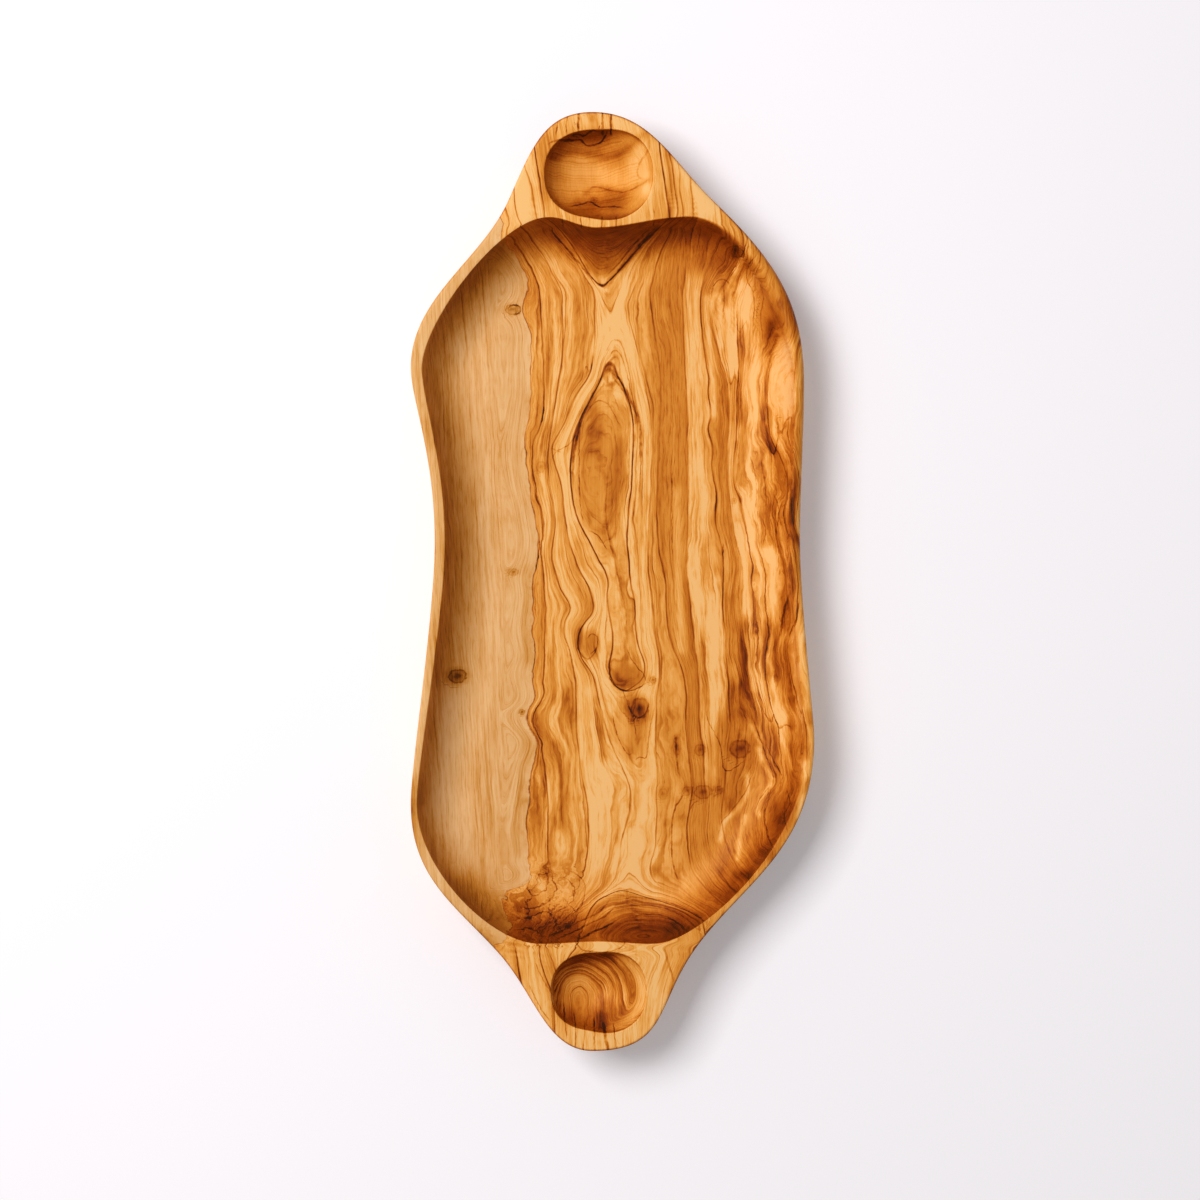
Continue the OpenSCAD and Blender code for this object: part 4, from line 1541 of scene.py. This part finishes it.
    def creased(self, place: Array, layer: int) -> Array:
        """Finds each point's nearest crease in one layer.

        A crease fades over its first and last fifth, and counts only close to it. Neighbours in the
        list lie in different layers, so that the change from one crease to the next never shows.

        Args:
            place: Plan points.
            layer: Number of the layer.

        Returns:
            Signed distance in millimetres, the crease's strength there, and its half-width.
        """
        best = np.tile(self.no_crease, (len(place), 1))
        for crease in CREASES[layer::CREASE_LAYERS]:
            near, away, share = self.beside(place, self.path(crease.points), self.crease_reach)
            fade = smooth(0, self.crease_fade, share) * smooth(1, 1 - self.crease_fade, share)
            strength = crease.strength * fade * (np.abs(away) < self.crease_reach)
            found = np.column_stack([away, strength, np.full_like(away, crease.width / 2)])
            closer = np.abs(away) < np.abs(best[near, 0])
            best[near] = np.where(closer[:, None], found, best[near])
        return best

    @staticmethod
    def number(radius: Array, rings: list) -> tuple[Array, Array, Array]:
        """Says between which rings a point lies.

        Args:
            radius: Distances from the pith.
            rings: The rings of one side.

        Returns:
            Number of the ring with the share of the way to the next, the usual growth up to there, and
            the width of the band.
        """
        number, growth, pitch = np.zeros_like(radius), np.zeros_like(radius), np.ones_like(radius)
        for (inner, _), (outer, usual) in zip(rings, rings[1:]):
            share = np.clip((radius - inner) / (outer - inner), 0, 1)
            number += share
            growth += usual * share
            pitch = np.where(share > 0, outer - inner, pitch)
        return number, growth, pitch

    def curls(self, x: Array, y: Array, sap: Array) -> tuple[Array, Array]:
        """Says where the grain curls: beside the sapwood, along the right and in the burl.

        Args:
            x: Places across the dish.
            y: Places along it.
            sap: Depth in the sapwood.

        Returns:
            Shares of curly wood and of burl.
        """
        heart = smooth(*self.heart_edge, sap)
        beside_sap = np.exp(-((sap / self.edge_curl) ** 2)) * heart
        curl = np.maximum(beside_sap, self.right_curl * smooth(*self.right_curl_x, x))
        burl = smooth(*self.burl_upper_y, y) * smooth(*self.burl_x, x) * heart
        return curl - self.sap_less_curl * smooth(*self.calm_sap, sap), burl * smooth(*self.burl_lower_y, y)

    def bowl_arcs(self, x: Array, y: Array) -> Array:
        """Finds the growth arcs of the bowls: distances from a short line, held calm close to it.

        Args:
            x: Places across the dish.
            y: Places along it.

        Returns:
            The distance from the line of the nearer bowl.
        """
        columns, tops, feet = np.array(BOWL_HEARTS, float).T
        lower = (y < 0).astype(int)
        upper_end, lower_end = self.view.place(columns, tops)[lower], self.view.place(columns, feet)[lower]
        beyond = y - np.clip(y, lower_end[:, 1], upper_end[:, 1])
        return np.sqrt((x - upper_end[:, 0]) ** 2 + beyond**2 + self.bowl_calm**2)

    def figure(self, points: Array, normals: Array) -> tuple[dict, dict]:
        """Works out the figure on a surface.

        Args:
            points: Points of the surface.
            normals: The directions that it faces there.

        Returns:
            At each point, the parts that FIGURE names, and the radius of each growth line.
        """
        x, y, z = points.T
        place = np.column_stack([x, y])

        # Distance from the pith, and how fast it changes over the surface
        pith, lift = self.along(y, PITH)
        across, down = self.part_round_knots(place) - pith, self.view.floor_height + lift - z
        radius = np.hypot(across, down)
        facing = (across * normals[:, 0] - down * normals[:, 2]) / radius
        slope = np.sqrt(np.maximum(1 - facing**2, self.least_slope))

        rings = self.rings(y, Side.LEFT), self.rings(y, Side.RIGHT)
        left, right = (np.column_stack(self.number(radius, side)) for side in rings)
        past = smooth(*self.pith_sides, across)
        growth = left[:, 1] + past * (right[:, 1] - left[:, 1])
        pitch = np.where(across > 0, right[:, 2], left[:, 2])

        # Away from the heartwood the sapwood grows straight
        sap = np.where(across < 0, (radius - rings[0][-2][0]) / slope, self.no_sap)
        growth += smooth(*self.straight_sap, sap) * (-x - self.sap_lean * y - growth)
        curl, burl = self.curls(x, y, sap)

        # A bowl has its own arcs, and none of the plank's bands
        inside = np.minimum(*(bowl.share_out(place) for bowl in self.bowls)) < self.bowl_edge
        bowl = smooth(*self.bowl_z, z) * (inside & (normals[:, 2] > 0))
        growth += bowl * (self.bowl_arcs(x, y) - growth)
        band = np.where(y < 0, BOWL_BANDS[1], BOWL_BANDS[0])
        for side in (left, right):
            side[:, 0] += bowl * (band - side[:, 0])
        sap = np.where(bowl > 0, self.no_sap, sap)

        # Seasons show less on the handles and in the upper bowl, and most in the lower bowl and the burl
        top = smooth(*self.handle_z, z) * smooth(*self.handle_y, np.abs(y))
        lines = 1 + self.handle_seasons * top + self.burl_seasons * burl
        lines += bowl * np.where(y < 0, self.bowl_seasons[1], self.bowl_seasons[0])
        lines += self.right_seasons * smooth(*self.right_seasons_x, x)
        lines *= 1 + self.bowl_edge_seasons * bowl * (1 - bowl)

        plain, plain_tone = self.plain(place)
        rim = smooth(*self.plain_rim_z, z) * smooth(*self.plain_rim_x, x) * smooth(*self.plain_rim_y, y)
        rim *= 1 - top
        plain = np.maximum(plain * (1 - top), rim)
        plain_tone += rim * (self.plain_rim_tone - plain_tone)

        still = np.maximum(self.bowl_still * bowl, self.sap_still * smooth(*self.calm_sap, sap))
        parts = {
            "growth": (growth, past * (1 - bowl), np.maximum(curl, self.bowl_curl * bowl)),
            "band": (left[:, 0], right[:, 0], sap),
            "ring": (np.where(bowl < 0.5, radius, -self.unreached), slope, pitch),
            # The strokes include painted light and shade; the mark's last part, the facing to the right,
            # feeds the sapwood's painted shade
            "mark": (np.abs(normals[:, 1]), self.strokes_and_painted_light(place), normals[:, 0]),
            "part": (plain, plain_tone, burl),
            "show": (lines, still, top),
            "knot": self.nearest_knot(place).T,
        }
        parts |= {f"crease_{i}": self.creased(place, i).T for i in range(CREASE_LAYERS)}
        radii = {
            line.name: np.where(here, ring, self.unreached)
            for side, found, here in zip(Side, rings, (across < 0, across > 0))
            for line, (ring, _) in zip(side.value, found[self.inner_rings :])
        }
        return parts, radii

    def write(self, mesh: bpy.types.Mesh) -> None:
        """Writes the figure to a mesh as point attributes that the wood's shader reads.

        Args:
            mesh: Mesh in the dish's frame, in metres.
        """
        points, normals = np.empty((2, len(mesh.vertices) * 3))
        mesh.vertices.foreach_get("co", points)
        mesh.vertex_normals.foreach_get("vector", normals)
        parts, radii = self.figure(points.reshape(-1, 3) / MM, normals.reshape(-1, 3))
        for name in FIGURE:
            attribute = mesh.attributes.new(name, "FLOAT_VECTOR", "POINT")
            attribute.data.foreach_set("vector", np.column_stack(parts[name]).astype(np.float32).ravel())
        for name, radius in radii.items():
            attribute = mesh.attributes.new(name, "FLOAT", "POINT")
            attribute.data.foreach_set("value", radius.astype(np.float32))


# Finishes


def per_mm(size: Size) -> Size:
    """Noise scales that give a pattern its size in millimetres, in each direction."""
    return tuple(1 / length for length in size)


@dataclass(frozen=True)
class WoodNodes:
    """What each part of the wood's shader starts from.

    They are the function that adds a node, the place on the dish in millimetres, its part along the
    dish, and the parts of the plank's figure.
    """

    node: partial
    in_mm: Socket
    along: Socket
    mark: dict[str, Socket]

    def with_growth(self, wavy: Socket, size: Span, side: Socket) -> Socket:
        """Place in a pattern that follows the growth, of a size across it and along it."""
        across, along = (self.node("Math DIVIDE", way, s) for way, s in zip((wavy, self.along), size))
        return self.node("CombineXYZ", across, along, side)


@dataclass(frozen=True)
class OiledOliveWood:
    """Olive wood, carved, sanded fine and rubbed with oil.

    The oil soaks in and deepens the colour, most of all in end grain. It leaves no film, so the eye
    gets a soft satin sheen over strong growth lines, and no sharp reflection.
    """

    heart: tuple[tuple[float, str], ...] = (
        (0.00, "#ffc57c"),
        (0.12, "#f9b059"),
        (0.28, "#e69336"),
        (0.44, "#cd741f"),
        (0.60, "#ad5410"),
        (0.75, "#883606"),
        (0.90, "#5c2004"),
        (1.00, "#331003"),
    )
    sap: tuple[tuple[float, str], ...] = (
        (0.00, "#f4c084"),
        (0.28, "#e1a158"),
        (0.50, "#cb812d"),
        (0.75, "#9c5511"),
        (1.00, "#5e2c07"),
    )
    # Tone of the bands between the growth lines, from the pith outwards: line number, tone
    left_bands: Points = (
        (0.0, 0.12), (1.0, 0.20), (1.25, 0.40), (1.8, 0.42), (1.92, 0.18), (2.1, 0.14), (2.5, 0.07),
        (2.9, 0.14), (3.1, 0.32), (3.5, 0.24), (3.85, 0.10), (4.1, 0.28), (4.6, 0.18), (4.9, 0.28),
        (5.2, 0.32), (5.6, 0.22), (6.0, 0.36),
    )
    right_bands: Points = (
        (0.0, 0.12), (1.0, 0.20), (1.25, 0.40), (1.8, 0.42), (1.92, 0.18), (2.1, 0.14), (2.6, 0.08),
        (2.97, 0.14), (3.1, 0.30), (3.95, 0.36), (4.1, 0.44), (4.5, 0.40), (4.97, 0.50), (5.05, 0.14),
        (5.5, 0.08), (5.95, 0.24), (6.08, 0.42), (6.92, 0.40), (7.05, 0.14), (7.9, 0.14), (8.15, 0.14),
        (8.5, 0.20), (8.95, 0.32), (9.08, 0.18), (9.5, 0.22), (10.0, 0.36),
    )
    last_band: float = 10.0
    handle_tone: float = 0.08
    handle_share: float = 0.55
    base_tone: float = -0.25

    # Darkening through one season's growth: slow at first, a thin dark line, then a clean start
    season_profile: Points = (
        (0.0, 0.0), (0.35, 0.04), (0.68, 0.2), (0.82, 0.42), (0.90, 1.0), (0.955, 0.9), (1.0, 0.0),
    )
    season_drift: float = 3.5
    season_step: float = 7.3
    season_contrast: float = 1.3
    # Darkening from a knot's middle outwards
    knot_profile: Points = (
        (0.0, 0.5), (0.1, 0.42), (0.22, 0.26), (0.34, 0.2), (0.42, 0.34), (0.5, 0.1), (0.7, 0.04),
        (0.8, 0.0),
    )
    knot_scale: float = 0.4
    knot_ragged: float = 0.8

    # Sheen, and the height of the fibres in millimetres
    oil_tint: str = "#ffd6a6"
    specular: float = 0.15
    roughness: float = 0.42
    roughness_spread: float = 0.12
    fibre_height: float = 0.2
    fibre_bump: float = 0.12

    # Growth lines and creases: their edges, and how far they vary along their length
    arch_strength: float = 0.6
    line_edge: Span = (0.1, 0.65)
    line_share: Span = (0.55, 1.25)
    line_step: float = 7.7
    crease_edge: Span = (0.3, 1.3)
    crease_share: Span = (0.45, 1.1)

    # Sizes of the patterns in millimetres: across, along and up, or across the growth and along it.
    # Real fibres and pores are a fifth as wide, too fine to show
    coarse_spacing: float = 3.0
    fine_spacing: float = 1.1
    fibre_size: Size = (0.6, 25.0, 0.6)
    pore_size: Span = (0.8, 9.0)
    streak_size: Span = (2.2, 45.0)
    calm_size: Span = (11.1, 143.0)
    slow_size: Size = (20.0, 55.6, 20.0)
    quick_size: Size = (10.0, 15.4, 10.0)
    cloud_size: Size = (6.25, 20.0, 6.25)
    burl_size: float = 3.85
    crease_size: float = 2.86
    stretch_length: float = 33.3

    # How far the growth wavers, in millimetres: along the plank, more where it curls, and in the burl
    slow_waver: float = 8.0
    quick_waver: float = 2.0
    curl_waver: float = 5.0
    burl_waver: float = 11.0
    line_waver: float = 0.15
    crease_waver: float = 1.3
    burl_crease_waver: float = 2.2

    # Shares of the patterns in the tone, and how far plain wood hides the lines and the seasons
    coarse_share: float = 0.5
    streak_share: float = 0.16
    fibre_share: float = 0.18
    fine_share: float = 0.3
    pore_share: float = 0.16
    end_share: float = 0.33
    cloud_share: float = 0.3
    sap_streak_share: float = 0.6
    sap_coarse_share: float = 0.36
    # Painted shade on the sapwood: tone of faces turned elsewhere, and of those facing right, away from the
    # lamp
    sap_lean_tone: Span = (-0.06, 0.3)
    end_plain: float = 0.8
    plain_lines: float = -0.75
    plain_seasons: float = -0.85

    def material(self) -> bpy.types.Material:
        """Builds the wood's shader.

        Returns:
            The material.
        """
        material = bpy.data.materials.new("oiled_olive_wood")
        node = emptied(material)
        mark = {}
        for name, parts in FIGURE.items():
            vector = node("Attribute", attribute_name=name, out="Vector")
            mark |= {part: node("SeparateXYZ", vector, out=i) for i, part in enumerate(parts)}
        in_mm = node("VectorMath SCALE", node("TexCoord", out="Object"), named={"Scale": 1 / MM})
        on = WoodNodes(node, in_mm, node("SeparateXYZ", in_mm, out=1), mark)

        fibre_place = node("Mapping", in_mm, named={"Scale": per_mm(self.fibre_size)})
        fibres = node("TexNoise", fibre_place, named={"Scale": 1.0, "Detail": 2.0})
        smoothest = self.roughness - self.roughness_spread / 2
        height = {"Strength": self.fibre_bump, "Distance": self.fibre_height * MM, "Height": fibres}
        node("OutputMaterial", node("BsdfPrincipled", named={
            "Base Color": self.colour(on, fibres),
            "Roughness": node("Math MULTIPLY_ADD", fibres, self.roughness_spread, smoothest),
            "Normal": node("Bump", named=height),
            "Specular IOR Level": self.specular,
            "Specular Tint": linear(self.oil_tint),
        }))
        return material

    def colour(self, on: WoodNodes, fibres: Socket) -> Socket:
        """Mixes the colour: heartwood with bands and lines, sapwood with fine even grain, and painted light
        and shade.

        Args:
            on: The shader's nodes.
            fibres: Noise of the fibres.

        Returns:
            The colour.
        """
        node, mark = on.node, on.mark
        slow, quick = self.waver(on)
        waver = node("Math MULTIPLY_ADD", slow, self.line_waver, quick)
        wavy = node("Math ADD", node("Math ADD", slow, quick), mark["growth"])
        shift = node("Math DIVIDE", node("Math MULTIPLY", waver, mark["slope"]), mark["pitch"])

        # Dark and pale streaks, other ones on each side of the pith
        streak_place = on.with_growth(wavy, self.streak_size, node("Math MULTIPLY", mark["side"], 1.5))
        streaks = node("TexNoise", streak_place, named={"Scale": 1.0, "Detail": 5.0, "Roughness": 0.62})

        # End grain drinks more oil, so it is darker and redder, and its bands show less
        ends = node("MapRange SMOOTHSTEP", mark["end_grain"], 0.12, 0.8, 0.0, 1.0)
        plain = node("Math MAXIMUM", node("Math MULTIPLY", ends, self.end_plain), mark["plain"])
        bands = self.bands(on, shift)
        handle = node("Math MULTIPLY", mark["top"], self.handle_share)
        for share, tone in ((plain, mark["plain_tone"]), (handle, self.handle_tone)):
            bands = node("Mix FLOAT", share, None, bands, tone)
        lined = node("Math MULTIPLY_ADD", plain, self.plain_lines, 1.0)
        lines = node("Math MULTIPLY", self.growth_lines(on, waver), lined)

        # The seasons show in some parts and are calm in others
        calm_place = on.with_growth(wavy, self.calm_size, mark["side"])
        calm = node("TexNoise", calm_place, named={"Scale": 1.0, "Detail": 2.0})
        calm = node("MapRange", calm, 0.36, 0.62, 0.35, 1.3)
        shown = node("Math MULTIPLY_ADD", plain, self.plain_seasons, 1.0)
        shown = node("Math MULTIPLY", node("Math MULTIPLY", shown, mark["lines"]), calm)
        coarse = node("Math MULTIPLY", self.seasons(on, wavy, self.coarse_spacing), shown)
        streaky = node("MapRange SMOOTHSTEP", streaks, 0.34, 0.66, -self.streak_share, self.streak_share)
        streaky = node("Math MULTIPLY", streaky, shown)

        grain = node("Math MULTIPLY_ADD", ends, self.end_share, self.grain(on, wavy, fibres))
        # The strokes: the wood's own darker and paler streaks, with painted light and shade among them
        stain_and_painted_light = node("Math MULTIPLY", mark["stain_and_painted_light"], node("Math ADD", streaks, 0.5))
        for extra in (self.creases(on), self.knots(on), stain_and_painted_light):
            grain = node("Math ADD", grain, extra)
        tone = node("Math MULTIPLY_ADD", coarse, self.coarse_share, self.base_tone)
        for extra in (lines, bands, streaky, grain):
            tone = node("Math ADD", tone, extra)
        heart = node("ValToRGB", tone, ramp=[(p, linear(c)) for p, c in self.heart])

        # Sapwood is paler and greyer. Its faces turned to the right, away from the lamp, get painted shade:
        # a deeper amber
        lean = node("MapRange SMOOTHSTEP", mark["lean"], 0.1, 0.8, *self.sap_lean_tone)
        sap_tone = node("Math ADD", grain, lean)
        for part, share in ((streaky, self.sap_streak_share), (coarse, self.sap_coarse_share)):
            sap_tone = node("Math MULTIPLY_ADD", part, share, sap_tone)
        sapwood = node("ValToRGB", sap_tone, ramp=[(p, linear(c)) for p, c in self.sap])
        in_sap = node("MapRange", node("Math ADD", mark["sap"], waver), -0.2, 0.4)
        return node("Mix RGBA", in_sap, *[None] * 5, heart, sapwood, out=2)

    def grain(self, on: WoodNodes, wavy: Socket, fibres: Socket) -> Socket:
        """Adds up the fine grain: fibres, fine seasons, soft clouds, and pores as short dark dashes.

        Args:
            on: The shader's nodes.
            wavy: Growth in millimetres, with its waver.
            fibres: Noise of the fibres.

        Returns:
            How much darker the grain makes the wood.
        """
        node, mark = on.node, on.mark
        fine = self.seasons(on, wavy, self.fine_spacing)
        fine = node("Math MULTIPLY", fine, node("Math MINIMUM", mark["lines"], 1.0))
        pore_place = on.with_growth(wavy, self.pore_size, mark["side"])
        pores = node("TexNoise", pore_place, named={"Scale": 1.0, "Detail": 2.0, "Roughness": 0.6})
        pores = node("MapRange", pores, 0.5, 0.7, 0.0, 1.0)
        cloud_place = node("Mapping", on.in_mm, named={"Scale": per_mm(self.cloud_size)})
        clouds = node("TexNoise", cloud_place, named={"Scale": 1.0, "Detail": 4.0, "Roughness": 0.6})
        grain = node("Math MULTIPLY_ADD", fibres, self.fibre_share, -self.fibre_share / 2)
        for part, share in ((fine, self.fine_share), (pores, self.pore_share), (clouds, self.cloud_share)):
            grain = node("Math MULTIPLY_ADD", part, share, grain)
        return grain

    def waver(self, on: WoodNodes) -> tuple[Socket, Socket]:
        """Wavers the growth.

        Args:
            on: The shader's nodes.

        Returns:
            Slow waver along the plank, and quick waver where the grain curls, both in millimetres.
        """
        node, mark = on.node, on.mark
        slow_place = node("Mapping", on.in_mm, named={"Scale": per_mm(self.slow_size)})
        slow = node("TexNoise", slow_place, named={"Scale": 1.0, "Detail": 2.0})
        slow = node("Math MULTIPLY_ADD", slow, self.slow_waver, -self.slow_waver / 2)
        slow = node("Math MULTIPLY", slow, node("Math SUBTRACT", 1.0, mark["still"]))
        quick_place = node("Mapping", on.in_mm, named={"Scale": per_mm(self.quick_size)})
        quick = node("TexNoise", quick_place, named={"Scale": 1.0, "Detail": 4.0})
        reach = node("Math MULTIPLY_ADD", mark["curl"], self.curl_waver, self.quick_waver)
        level = node("Math MULTIPLY", node("Math SUBTRACT", quick, 0.5), reach)
        tight = node("TexNoise", on.in_mm, named={"Scale": 1 / self.burl_size, "Detail": 3.0})
        swirl = node("Math MULTIPLY", node("Math SUBTRACT", tight, 0.5), mark["burl"])
        return slow, node("Math MULTIPLY_ADD", swirl, self.burl_waver, level)

    def bands(self, on: WoodNodes, shift: Socket) -> Socket:
        """Gives the tone of the bands between the growth lines, blended across the pith.

        Args:
            on: The shader's nodes.
            shift: How far the growth wavers, in bands.

        Returns:
            The tone.
        """
        tones = []
        for bands, side in ((self.left_bands, "left"), (self.right_bands, "right")):
            share = on.node("Math DIVIDE", on.node("Math ADD", on.mark[side], shift), self.last_band)
            tones.append(on.node("ValToRGB", share, ramp=[(n / self.last_band, t) for n, t in bands]))
        return on.node("Mix FLOAT", on.mark["side"], None, *tones)

    def growth_lines(self, on: WoodNodes, waver: Socket) -> Socket:
        """Draws the dark growth lines, each stronger and weaker along its length.

        Args:
            on: The shader's nodes.
            waver: How far the growth wavers, in millimetres.

        Returns:
            Darkness of the line that is darkest at each point.
        """
        node, mark = on.node, on.mark
        rings = [(ARCH_RING, self.arch_strength)]
        rings += [(node("Attribute", attribute_name=line.name, out="Fac"), line.strength)
                  for side in Side for line in side.value]
        darkest = 0.0
        for number, (ring, strength) in enumerate(rings):
            off = node("Math DIVIDE", node("Math SUBTRACT", mark["radius"], ring), mark["slope"])
            off = node("Math ABSOLUTE", node("Math ADD", off, waver))
            place = node("Math MULTIPLY_ADD", on.along, 1 / self.stretch_length, self.line_step * number)
            chance = node("TexNoise 1D", named={"W": place, "Scale": 1.0, "Detail": 2.0})
            here = node("MapRange", chance, 0.36, 0.58, *(share * strength for share in self.line_share))
            dark = node("MapRange SMOOTHSTEP", off, *self.line_edge, here, 0.0)
            darkest = node("Math MAXIMUM", dark, darkest)
        return darkest

    def seasons(self, on: WoodNodes, wavy: Socket, spacing: float) -> Socket:
        """Draws the lines of single seasons.

        The spacing is uneven, and each season has a darkness of its own that comes and goes along it.

        Args:
            on: The shader's nodes.
            wavy: Growth in millimetres, with its waver.
            spacing: Mean width of a season in millimetres.

        Returns:
            Darkness from 0 to 1.
        """
        node = on.node
        even = node("Math DIVIDE", wavy, spacing)
        drift = node("TexNoise 1D", named={"W": even, "Scale": 0.3, "Detail": 1.0})
        phase = node("Math MULTIPLY_ADD", drift, self.season_drift, even)
        season = node("Math FLOOR", phase)
        chance = node("TexWhiteNoise 1D", named={"W": season})
        stretch_place = node("CombineXYZ", node("Math MULTIPLY", season, self.season_step),
                             node("Math DIVIDE", on.along, self.stretch_length))
        stretch = node("TexNoise 2D", stretch_place, named={"Scale": 1.0, "Detail": 1.0})
        present = node("MapRange", stretch, 0.35, 0.6, 0.2, 1.0)
        profile = node("ValToRGB", node("Math FRACT", phase), ramp=list(self.season_profile))
        dark = node("Math MULTIPLY", profile, node("Math POWER", chance, self.season_contrast))
        return node("Math MULTIPLY", dark, present)

    def creases(self, on: WoodNodes) -> Socket:
        """Draws the creases, dark within their half-width, with a small waver and fainter stretches.

        Args:
            on: The shader's nodes.

        Returns:
            Darkness of the crease that is darkest at each point.
        """
        node, mark = on.node, on.mark
        fine = {"Scale": 1 / self.crease_size, "Detail": 3.0}
        ragged = node("TexNoise", on.in_mm, named=fine, out="Color")
        aside, chance = (node("SeparateXYZ", ragged, out=i) for i in (0, 1))
        reach = node("Math MULTIPLY_ADD", mark["burl"], self.burl_crease_waver, self.crease_waver)
        aside = node("Math MULTIPLY", node("Math SUBTRACT", aside, 0.5), reach)
        darkest = 0.0
        for i in range(CREASE_LAYERS):
            off = node("Math ABSOLUTE", node("Math ADD", mark[f"off_{i}"], aside))
            off = node("Math DIVIDE", off, mark[f"width_{i}"])
            dark = node("MapRange SMOOTHSTEP", off, *self.crease_edge, mark[f"strength_{i}"], 0.0)
            darkest = node("Math MAXIMUM", dark, darkest)
        present = node("MapRange", chance, 0.38, 0.6, *self.crease_share)
        return node("Math MULTIPLY", darkest, present)

    def knots(self, on: WoodNodes) -> Socket:
        """Draws the knots: a dark middle in a ragged brown halo.

        Args:
            on: The shader's nodes.

        Returns:
            Darkness of the knots.
        """
        node = on.node
        place = node("CombineXYZ", on.mark["knot_x"], on.mark["knot_y"])
        ripple = node("TexNoise", place, named={"Scale": 1.6, "Detail": 3.0})
        ripple = node("Math MULTIPLY_ADD", ripple, self.knot_ragged, -self.knot_ragged / 2)
        ragged = node("Math ADD", ripple, node("VectorMath LENGTH", place, out="Value"))
        tone = node("Math MULTIPLY", ragged, self.knot_scale)
        tone = node("ValToRGB", tone, ramp=list(self.knot_profile))
        return node("Math MULTIPLY", tone, on.mark["knot_weight"])


@dataclass(frozen=True)
class PaperSweep:
    """White paper under the dish, uncoated and rolled out flat.

    Its loose fibres scatter light evenly, so it is matt, takes the soft shadow and shows white.
    """

    colour: str = "#f4eff3"
    lift: float = 0.2

    def material(self) -> bpy.types.Material:
        """Builds the paper's shader: a matt white, with a little light of its own for the picture.

        Returns:
            The material.
        """
        material = bpy.data.materials.new("matt_white_paper")
        node = emptied(material)
        strength = node("Math MULTIPLY", seen_directly(node), self.lift)
        paper = node("BsdfDiffuse", linear(self.colour))
        node("OutputMaterial", node("AddShader", paper, node("Emission", named={"Strength": strength})))
        return material


# The studio


@dataclass(frozen=True)
class Studio:
    """White paper, a big soft lamp from the upper left and even light all round, in metres and watts."""

    floor_size: float = 8.0
    lamp_place: Size = (-0.85, 0.5, 1.65)
    lamp_size: float = 0.9
    lamp_power: float = 28.6
    sky: float = 0.25
    sky_colour: str = "#ffffff"

    def floor(self) -> bpy.types.Object:
        """Makes the sheet that the dish stands on.

        Returns:
            The sheet.
        """
        half = self.floor_size / 2
        mesh = bpy.data.meshes.new("floor")
        corners = [(-half, -half, 0), (half, -half, 0), (half, half, 0), (-half, half, 0)]
        mesh.from_pydata(corners, [], [(0, 1, 2, 3)])
        mesh.materials.append(PaperSweep().material())
        floor = placed("floor", mesh)
        return floor

    def lamp(self) -> bpy.types.Object:
        """Makes the big soft lamp, turned to the dish.

        Returns:
            The lamp.
        """
        data = bpy.data.lights.new("soft_lamp", "AREA")
        data.size = self.lamp_size
        data.energy = self.lamp_power
        lamp = placed("soft_lamp", data)
        lamp.location = self.lamp_place
        lamp.rotation_euler = (-Vector(self.lamp_place)).to_track_quat("-Z", "Y").to_euler()
        return lamp

    def surround(self) -> bpy.types.World:
        """Makes the even light all round, which shows as white behind the dish.

        Returns:
            The world.
        """
        world = bpy.data.worlds.new("studio")
        node = emptied(world)
        strength = node("Mix FLOAT", seen_directly(node), None, self.sky, 1.0)
        node("OutputWorld", node("Background", linear(self.sky_colour), strength))
        bpy.context.scene.world = world
        return world


def make_dish(view: PlanView) -> bpy.types.Object:
    """Builds the dish in the frame's box, dresses it and puts it in the CAD node's place.

    Args:
        view: The plan view that the wood's figure is read in.

    Returns:
        The dish.
    """
    low, high = (np.array(corner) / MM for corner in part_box("dish_body"))
    body = DishBody(half_width=high[0], half_length=high[1], height=high[2] - low[2])
    mesh = body.build()
    Plank(view, (body.upper_bowl, body.lower_bowl)).write(mesh)
    mesh.materials.append(OiledOliveWood().material())
    dish = placed("dish", mesh)
    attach(dish, "root")
    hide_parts("dish_body")
    return dish


def main() -> None:
    """Builds the view, the studio and the dish, and reports each piece."""
    logging.basicConfig(level=logging.INFO, format="%(name)s: %(message)s")
    bpy.context.scene.view_settings.view_transform = "Standard"
    view = PlanView()
    camera = view.camera()
    log.info("camera %s, lens %.1f mm", camera.name, camera.data.lens)
    studio = Studio()
    log.info("stage %s, lamp %s, world %s", studio.floor().name, studio.lamp().name, studio.surround().name)
    dish = make_dish(view)
    log.info("piece %s: %d points, %d faces", dish.name, len(dish.data.vertices), len(dish.data.polygons))


if __name__ == "__main__":
    main()
